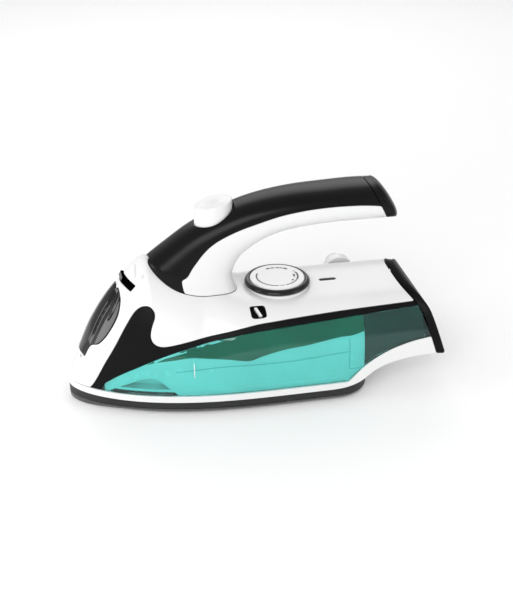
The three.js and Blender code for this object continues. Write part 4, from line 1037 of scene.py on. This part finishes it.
def over_handle(u, y):
    """Chart points on the top of the handle, straight above plan points."""
    t, phi = np.full(len(u), 0.3), math.pi / 2 - y / 15
    for _ in range(14):
        p = handle(t, phi)[:, :2]
        dt, dp = (handle(t + 1e-4, phi)[:, :2] - p) / 1e-4, (handle(t, phi + 1e-4)[:, :2] - p) / 1e-4
        miss = np.stack([u, y], 1) - p
        det = dt[:, 0] * dp[:, 1] - dt[:, 1] * dp[:, 0]
        t = np.clip(t + (miss[:, 0] * dp[:, 1] - miss[:, 1] * dp[:, 0]) / det, 0.05, 0.6)
        phi = np.clip(phi + (dt[:, 0] * miss[:, 1] - dt[:, 1] * miss[:, 0]) / det, 0.1, math.pi - 0.1)
    return handle_chart(t, phi)


BUTTON_GAP, END_HALF, END_BULGE = 0.4, 15.2, 3.5
around = np.linspace(0, 2 * math.pi, 90, endpoint=False)
button_hole = over_handle(BUTTON_U + (BUTTON_LONG + BUTTON_GAP) * np.cos(around),
                          (BUTTON_WIDE + BUTTON_GAP) * np.sin(around))
grip = Part()
patch(grip, handle_skin, [rounded(upper_loop, 0.4, 0.8), button_hole], roll=[0.3, 0.5], gap=[0.12, 0])
phi_ring = np.linspace(-math.pi / 2, 1.5 * math.pi, 120, endpoint=False)
rings = []
for t, tuck in ((SPLIT_END + 0.002, 1.6), (SPLIT_END + 0.002, 0.3), (SPLIT_END + 0.0026, 0.1),
                (SPLIT_END + 0.004, 0.0), (0.965, 0.0), (0.98, 0.0), (0.99, 0.0)):
    ring = handle(np.full(120, t), phi_ring)
    core = ring.mean(0)
    rings.append(core + (ring - core) * (1 - tuck / 15))
end_top, end_keel = CREST(np.array(1.0)), KEEL(np.array(1.0))
out_dir = np.array([end_top[1] - end_keel[1], -(end_top[0] - end_keel[0])])
out_dir /= np.linalg.norm(out_dir)
for angle in np.radians((0, 12, 24, 36, 48, 58, 67, 75, 82, 87)):
    push = out_dir * END_BULGE * math.sin(angle)
    top, keel = np.tile(end_top + push, (120, 1)), np.tile(end_keel + push, (120, 1))
    rings.append(handle_ring(top, keel, END_HALF, phi_ring, math.cos(angle) ** 0.75))
loft(grip, [r[::-1] for r in rings], caps=(False, True))
grip.make("handle_grip_skin", GRIP, "iron", ["handle_grip"])


# --- inside of the tank


def inner_patch(name, material, top, bottom, inset=2.5, sink=0.0, relief=None):
    """A wall close behind the tank on both sides, between two lines seen from the side. It goes on below the
    lower line by sink."""
    part = Part()

    def lift(q):
        return -inset + (relief(body(q[:, 0], q[:, 1])) if relief else 0.0 * q[:, 0])

    for side in (-1, 1):
        loop = np.vstack([chart(seen(top, side)), chart(seen(bottom[::-1], side)) + [0, side * sink]])
        patch(part, lifted(lift), [rounded(loop, 0.3, 1.0)], spacing=3.0, roll=0.2, gap=0, depth=0.9)
    part.make(name, material, "iron")


def wall_relief(p):
    """A shelf along the wall, and a broad upright rib at its rear end."""
    shelf = 0.5 * (1 - ease(p[:, 2] - SHELF(p[:, 0]), -0.6, 0.6))
    rib = ease(p[:, 0], 153.0, 154.4) * ease(p[:, 2], 18.2, 19.8)
    return np.maximum(shelf, 0.6 * rib) + 0.45 * (1 - ease(p[:, 0], 44, 76))


SHELF = smooth([[17, 18], [46, 24.5], [66, 26.7], [86, 28.3], [116, 28], [151, 30], [170, 31]])
waterline = curve([[38, 28.8], [46, 31.2], [58, 33.0], [66, 34.0], [76, 33.2], [86, 32.3], [95, 30.9],
                   [98.5, 31.0], [104, 32.8], [116, 35.4], [130, 36.8], [148, 39.4], [155, 39.6],
                   [162, 41.2]])
upper_line = curve([[38, 33.0], [44, 36.6], [52.2, 40.2], [81.6, 47.6], [103.4, 49.6], [162, 51.5]])
wall_foot = np.array([[18.6, 12.2], [60, 12.2], [100, 12.2], [152.6, 12.2], [162, 20.4]])
wall_top = np.vstack([curve([[18.6, 16.6], [22, 20.6], [30, 26.2], [37, 31.0]]), waterline[3:] + [0, 1.0]])
# a dark teal sheet behind the tank above the pale wall: painted shade of the shell's inside
inner_patch("tank_upper_painted_shade", SHADE_TEAL, upper_line, waterline, 2.4)
inner_patch("tank_pale_wall", PALE, wall_top, wall_foot, 3.1, 2.2, wall_relief)
# darker lines along the shelf and the rib of the pale wall: painted shade where the wall steps
crease_shade_skin = lifted(lambda q: np.full(len(q), -2.45))
crease_shade_paths = (
    [[u, float(SHELF(u))] for u in np.linspace(57, 152.8, 60)],
    [[153.4, z] for z in np.linspace(19.4, 38.0, 14)],
    [[u, 19.2] for u in np.linspace(153.6, 159.4, 6)],
)
crease_shade_lines = Part()
for side in (-1, 1):
    for path in crease_shade_paths:
        ribbon(crease_shade_lines, chart(seen(path, side)), 0.3, lambda q: crease_shade_skin(*q.T))
crease_shade_lines.make("tank_wall_crease_shade", CREASE_SHADE, "iron")
# a near-black sheet behind the rear of the tank: painted shade of the body's inside
rear_top = curve([[162.3, 51.2], [196.0, 52.2]])
rear_foot = curve([[162.3, 21.2], [175.1, 28.5], [188.3, 32.5], [196.6, 33.9]])
inner_patch("tank_rear_painted_shade", REAR_SHADE, rear_top, rear_foot, 2.4, 1.6)

# --- steam button


def oval_rings(levels, count=96):
    """Rings about the button's middle from (half length, half width, height, tilt), from the bottom up."""
    a = np.linspace(2 * math.pi, 0, count, endpoint=False)
    return [np.stack([BUTTON_U + long * np.cos(a), wide * np.sin(a), z + tilt * long * np.cos(a)], 1)
            for long, wide, z, tilt in levels]


BUTTON_FOOT, BUTTON_TOP, TILT = 97.2, 110.3, 0.2
DRAFT, ROLL, DISH = 0.45, 0.9, 0.37  # how the button's wall leans in, its edge's radius and its top's depth
SHOULDER = BUTTON_TOP - ROLL
button = Part()
levels = [(10.3, 8.6, 96.3, 0.0), (10.6, 8.9, 96.6, 0.0), (BUTTON_LONG, BUTTON_WIDE, BUTTON_FOOT, 0.02)]
for s in (0.25, 0.5, 0.75, 1.0):
    height = BUTTON_FOOT + (SHOULDER - BUTTON_FOOT) * s
    levels.append((BUTTON_LONG - DRAFT * s, BUTTON_WIDE - DRAFT * s, height, TILT * s))
for a in np.radians((15, 30, 45, 60, 75, 90)):
    r = DRAFT + ROLL * (1 - math.cos(a))
    levels.append((BUTTON_LONG - r, BUTTON_WIDE - r, BUTTON_TOP - ROLL * (1 - math.sin(a)), TILT))
flat_long, flat_wide = levels[-1][:2]
for s, drop in ((0.92, 0.0), (0.86, 0.03), (0.8, 0.16), (0.6, 0.3), (0.3, 0.36), (0.08, DISH)):
    levels.append((flat_long * s, flat_wide * s, BUTTON_TOP - drop, TILT))
loft(button, oval_rings(levels), caps=(False, True))
button.make("steam_button_cap", WHITE, "steam_button", ["steam_button"])


def on_button(q):
    return np.stack([BUTTON_U + q[:, 0], q[:, 1], BUTTON_TOP - DISH + TILT * q[:, 0] + 0.05], 1)


icon = Part()
wave = np.linspace(-1, 1, 24)
for k in (-1.6, 0.0, 1.6):
    ribbon(icon, np.stack([2.6 * wave + 0.4, k + 0.45 * np.sin(wave * 4.0)], 1), 0.16, on_button)
turn = np.linspace(math.radians(50), math.radians(310), 50)
ribbon(icon, np.stack([0.4 + 4.4 * np.cos(turn), 3.5 * np.sin(turn)], 1), 0.14, on_button)
icon.make("steam_icon", FAINT, "steam_button")

# --- dial

DIAL_TOP = 61.85
DIAL_BASE = [(13.9, 52.6), (17.4, 52.6), (17.6, 56.0), (17.6, 57.6), (17.3, 58.05), (4.0, 58.05), (4.0, 57.0),
             (13.9, 56.8), (13.9, 52.6)]
DIAL_RIM = [(15.6, 58.4), (17.7, 58.4), (18.45, 59.1), (18.35, 60.1), (17.2, 61.2), (16.2, 61.45),
            (15.6, 61.1), (15.6, 58.4)]
DIAL_CAP = [(0.02, 58.4), (15.35, 58.4), (15.35, 61.4), (15.0, 61.78), (14.4, DIAL_TOP), (10.6, DIAL_TOP),
            (10.35, 61.72), (0.02, 61.72)]
for name, profile, sides, radius, material, body_name, slot, node in (
    ("dial_base_ring", DIAL_BASE, 120, 0.3, WHITE, "iron", "white_plastic", "dial_base"),
    ("dial_rim_ring", DIAL_RIM, 144, 0.45, GLOSS, "dial", "black_gloss", "dial_rim"),
    ("dial_cap_disc", DIAL_CAP, 144, 0.25, WHITE, "dial", "white_plastic", "dial_cap"),
):
    piece = Part()
    lathe(piece, profile, (DIAL_U, 0, 0), sides=sides, radius=radius)
    piece.make(name, material, body_name, [node])


def on_dial(q):
    return np.stack([DIAL_U + q[:, 0], q[:, 1], np.full(len(q), DIAL_TOP + 0.012)], 1)


def arc(radius, first, last):
    """Points on a circle about the dial's middle, at most about 3 degrees apart."""
    a = np.radians(np.linspace(first, last, max(int(abs(last - first) / 3.0), 4) + 1))
    return np.stack([radius * np.cos(a), radius * np.sin(a)], 1)


# radius, first and last angle, and half width of each mark
LONG_MARKS = [(11.6, 150, 262, 0.42), (11.6, 282, 330, 0.38), (11.6, 335, 378, 0.5), (9.6, 348, 366, 0.5),
              (9.6, 318, 326, 0.5)]
DOTS = [(11.6, at - 1.6, at + 1.6, 0.6) for at in (268, 275, 333, 384)]
DOTS += [(10.9, at - 1.6, at + 1.6, 0.6) for at in (72, 76, 80, 88, 92, 96)]
NEAR_MARKS = [(11.0, 46, 60, 0.6), (11.0, 63, 68, 0.6), (11.0, 100, 112, 0.6)]
marks = Part()
for radius, first, last, half in LONG_MARKS + DOTS + NEAR_MARKS:
    ribbon(marks, arc(radius, first, last), half, on_dial)
marks.make("dial_marks", PRINT, "dial")

# --- blocks with eased edges


def block(part, spot, half, radius, inner=10):
    """A box with rounded edges, its local points placed by spot((n, 3) array)."""
    hx, hy, hz = half
    r = min(radius, hx * 0.98, hy * 0.98, hz * 0.98)
    q = np.linspace(0, math.pi / 2, 6)
    corners = [(hy - r, hz - r, 0), (-hy + r, hz - r, 1), (-hy + r, -hz + r, 2), (hy - r, -hz + r, 3)]
    rings, normals = [], []
    ends = [(-hx + r - r * math.sin(a), math.cos(a), -math.sin(a)) for a in q[::-1]]
    ends += [(x, 1.0, 0.0) for x in np.linspace(-hx + r, hx - r, inner)[1:-1]]
    ends += [(hx - r + r * math.sin(a), math.cos(a), math.sin(a)) for a in q]
    for x, scale, tip in ends:
        ring, facing = [], []
        for cy, cz, k in corners:
            for a in q + k * math.pi / 2:
                ring.append([x, cy + r * scale * math.cos(a), cz + r * scale * math.sin(a)])
                facing.append([tip, scale * math.cos(a), scale * math.sin(a)])
        rings.append(np.array(ring)[::-1])
        normals.append(np.array(facing)[::-1])
    flat = np.vstack(rings)
    placed = spot(flat)
    e = 0.01
    turned = spot(flat + np.vstack(normals) * e) - placed
    shape = (len(rings), len(rings[0]), 3)
    loft(part, placed.reshape(shape), turned.reshape(shape), caps=(True, True))


def frame_at(place, x, y, z):
    """A spot function for local points: an origin and the three axes."""
    axes = np.array([x, y, z], float)
    return lambda q: np.array(place) + q @ axes


# --- steam lever and its slot

OUT = np.array([-math.cos(SLOT_DIP), 0, math.sin(SLOT_DIP)])
OVER = np.array([math.sin(SLOT_DIP), 0, math.cos(SLOT_DIP)])
SLOT_AT = np.array([SLOT_U, 0, float(crest(SLOT_U))])
PIVOT = SLOT_AT - OUT * 12.0


def knob_shape(q):
    """Local x outward, y across, z over: the outer end follows a circle about the pivot."""
    reach = q[:, 0] - 0.045 * q[:, 1] ** 2 * (q[:, 0] > 0)
    grip = 0.25 * np.cos(q[:, 1] * 2.6) * ease(q[:, 0], 0.6, 1.8)
    return PIVOT + (11.4 + reach + grip)[:, None] * OUT + q[:, 1:2] * np.array([0, 1.0, 0]) + q[:, 2:3] * OVER


lever = Part()
block(lever, knob_shape, (1.8, 4.8, 1.7), 0.7, 14)
block(lever, frame_at(PIVOT + OUT * 5.2, OUT, (0, 1, 0), OVER), (4.8, 1.5, 1.5), 0.3)
lathe(lever, [(1.6, -2.4), (3.6, -2.4), (3.6, 2.2), (1.6, 2.2)], PIVOT, tuple(OVER), 48, 0.3)
lever.make("steam_lever_knob", GLOSS, "steam_lever", ["steam_lever"])

liner = Part()
slot_edge = body(*rounded(slot_loop(0.05), 0.7, 0.6).T)
wall_rings = []
for sink, tuck in ((0.45, 0.0), (2.5, 0.0), (4.6, 0.02), (4.6, 0.35), (4.6, 0.98)):
    moved = slot_edge - OUT * sink
    core = slot_edge.mean(0) - OUT * sink
    wall_rings.append(core + (moved - core) * (1 - tuck))
loft(liner, wall_rings)
liner.make("steam_slot_liner", SATIN, "iron")

# --- fill cover

ridge_line = chart(np.array([[29.6, -3.7, 64.8], [25.5, -5.4, 58.6], [20.5, -6.2, 50.8], [16.1, -7.2, 42.3],
                             [13.5, -7.1, 37.1], [9.5, -4.5, 28.6]]))[::-1]


def cover_lift(q):
    """The cover stands over the shell, with a raised middle, hollows beside it and a pit on each side."""
    half = np.interp(q[:, 0], ridge_line[:, 0], np.abs(ridge_line[:, 1]))
    reach = np.abs(q[:, 1])
    ridge = 0.5 * (1 - ease(reach, half - 1.0, half + 0.9))
    hollow = -0.5 * ease(reach, half + 0.2, half + 2.6) * (1 - ease(reach, half + 2.8, half + 6.0))
    mirrored = q * [1, -1]
    pit = sum(dent(v, cover_dent_at, 6.0, 2.0, 0.42, 1.1, 3.0) for v in (q, mirrored))
    return 0.35 + ridge + hollow + pit


cover = Part()
patch(cover, lifted(cover_lift), [cover_ring], spacing=0.5, roll=0.35, gap=0.12, depth=1.7)
hinge_at = (10.5, 0.0, 26.6)
for low, high in ((-5.6, -2.1), (-1.9, 1.9), (2.1, 5.6)):
    lathe(cover, [(0.7, low), (1.55, low), (1.55, high), (0.7, high)], hinge_at, (0, 1, 0), 32, 0.25)
cover.make("fill_cover_leaf", GLOSS, "fill_cover", ["fill_cover"])

# --- voltage switch, pilot light and cord inlet

TIP = math.radians(26.4)
NORMAL = np.array([0, -math.sin(TIP), math.cos(TIP)])
at_switch = frame_at((SWITCH_U, SWITCH_Y, 54.13), (1, 0, 0), (0, math.cos(TIP), math.sin(TIP)), NORMAL)


def square_ring(half, depth, count=64):
    """A ring of squarish outline about the switch's middle, at a depth below it."""
    a = np.linspace(2 * math.pi, 0, count, endpoint=False)
    c, s = np.cos(a), np.sin(a)
    r = (np.abs(c) ** 6 + np.abs(s) ** 6) ** (-1 / 6)
    return at_switch(np.stack([half * r * c, half * r * s, np.full(count, -depth)], 1))


CUP = ((4.25, 0.9), (4.2, 0.6), (4.05, 0.5), (3.9, 0.62), (3.82, 1.0), (3.8, 3.0), (3.6, 3.2), (0.1, 3.2))
switch = Part()
loft(switch, [square_ring(half, depth) for half, depth in CUP])
switch.make("voltage_switch_cup", SATIN, "iron", ["voltage_switch"])


def slant(q):
    """The slider leans across its slot and rises to a ridge."""
    turned = q.copy()
    turned[:, 0] = q[:, 0] - 0.35 * q[:, 1]
    turned[:, 2] = q[:, 2] + 0.25 * (q[:, 2] > 0) * (1 - (q[:, 0] / 1.7) ** 2)
    return at_switch(turned)


slider = Part()
block(slider, lambda q: slant(q + [0, 0, -1.1]), (0.85, 3.05, 1.0), 0.35)
slider.make("voltage_slider_tab", WHITE, "voltage_slider", ["voltage_slider"])

pilot = Part()
lens_rings = []
for tuck, rise_by in ((0.0, -2.4), (0.0, -0.25), (0.12, -0.1), (0.4, 0.0), (0.9, 0.03), (1.25, 0.04)):
    shape = capsule(PILOT_U, 0, PILOT_HALF - tuck, max(PILOT_ROUND - tuck, 0.03))
    lens_rings.append(np.column_stack([shape, np.full(len(shape), float(crest(PILOT_U)) + rise_by)])[::-1])
loft(pilot, lens_rings, caps=(False, True))
pilot.make("pilot_lens_bar", LENS, "iron", ["pilot_lens"])

gland = Part()
profile = [(3.35, 31.0), (8.6, 31.0), (8.6, 36.4), (8.1, 37.0), (6.6, 37.1), (6.2, 36.6), (5.0, 36.9)]
for k in range(4):
    foot, groove, rib = 37.4 + 2.0 * k, 4.45 - 0.1 * k, 5.15 - 0.12 * k
    profile += [(groove, foot), (groove, foot + 0.7), (rib, foot + 0.9), (rib, foot + 1.7)]
profile += [(4.5, 45.3), (4.3, 45.85), (3.5, 45.85), (3.35, 45.4), (3.35, 31.0)]
lathe(gland, profile, (165.0, 0, 45.8), (0, 1, 0), 96, 0.25)
gland.make("cord_gland_sleeve", WHITE, "iron", ["cord_gland"])

# --- marks on the shell


def on_body(q):
    return body(q[:, 0], q[:, 1]) + [0, 0, 0.03]


shell_marks = Part()
mark_at = over_plan(40.5, -6.0)
scale = np.linspace(-3.6, 3.6, 12)
ribbon(shell_marks, mark_at + np.stack([np.linspace(-3.4, 3.4, 12) * 0.15, scale], 1), 0.5, on_body)
line = np.linspace(-1, 1, 6)
for sign in (-1, 1):
    stroke = np.stack([0.9 * line, 0.9 * sign * line], 1)
    ribbon(shell_marks, mark_at + [4.2, -6.2] + stroke, 0.28, on_body)
shell_marks.make("steam_selector_marks", FAINT, "iron")

level = Part()
for side in (-1, 1):
    run = chart(seen(curve([[66.8, 23.5], [66.9, 31.5]]), side))
    ribbon(level, run, 0.22, lambda q: body(q[:, 0], q[:, 1]) + [0, 0.05 * side, 0])
level.make("tank_level_mark", WHITE, "iron")

# --- pieces kept from the frame, and floor

slot_of = {item["node"]: item["material_slot"] for item in frame["record"]["subparts"]}
for name, thing in frame["nodes"].items():
    thing.data.materials.clear()
    thing.data.materials.append(SLOTS[slot_of[name]])
ground = bpy.data.meshes.new("floor")
corners = [(-20, -20, -0.0005), (20, -20, -0.0005), (20, 20, -0.0005), (-20, 20, -0.0005)]
ground.from_pydata(corners, [], [(0, 1, 2, 3)])
ground.materials.append(FLOOR)
plain_floor = bpy.data.objects.new("floor", ground)
scene.collection.objects.link(plain_floor)
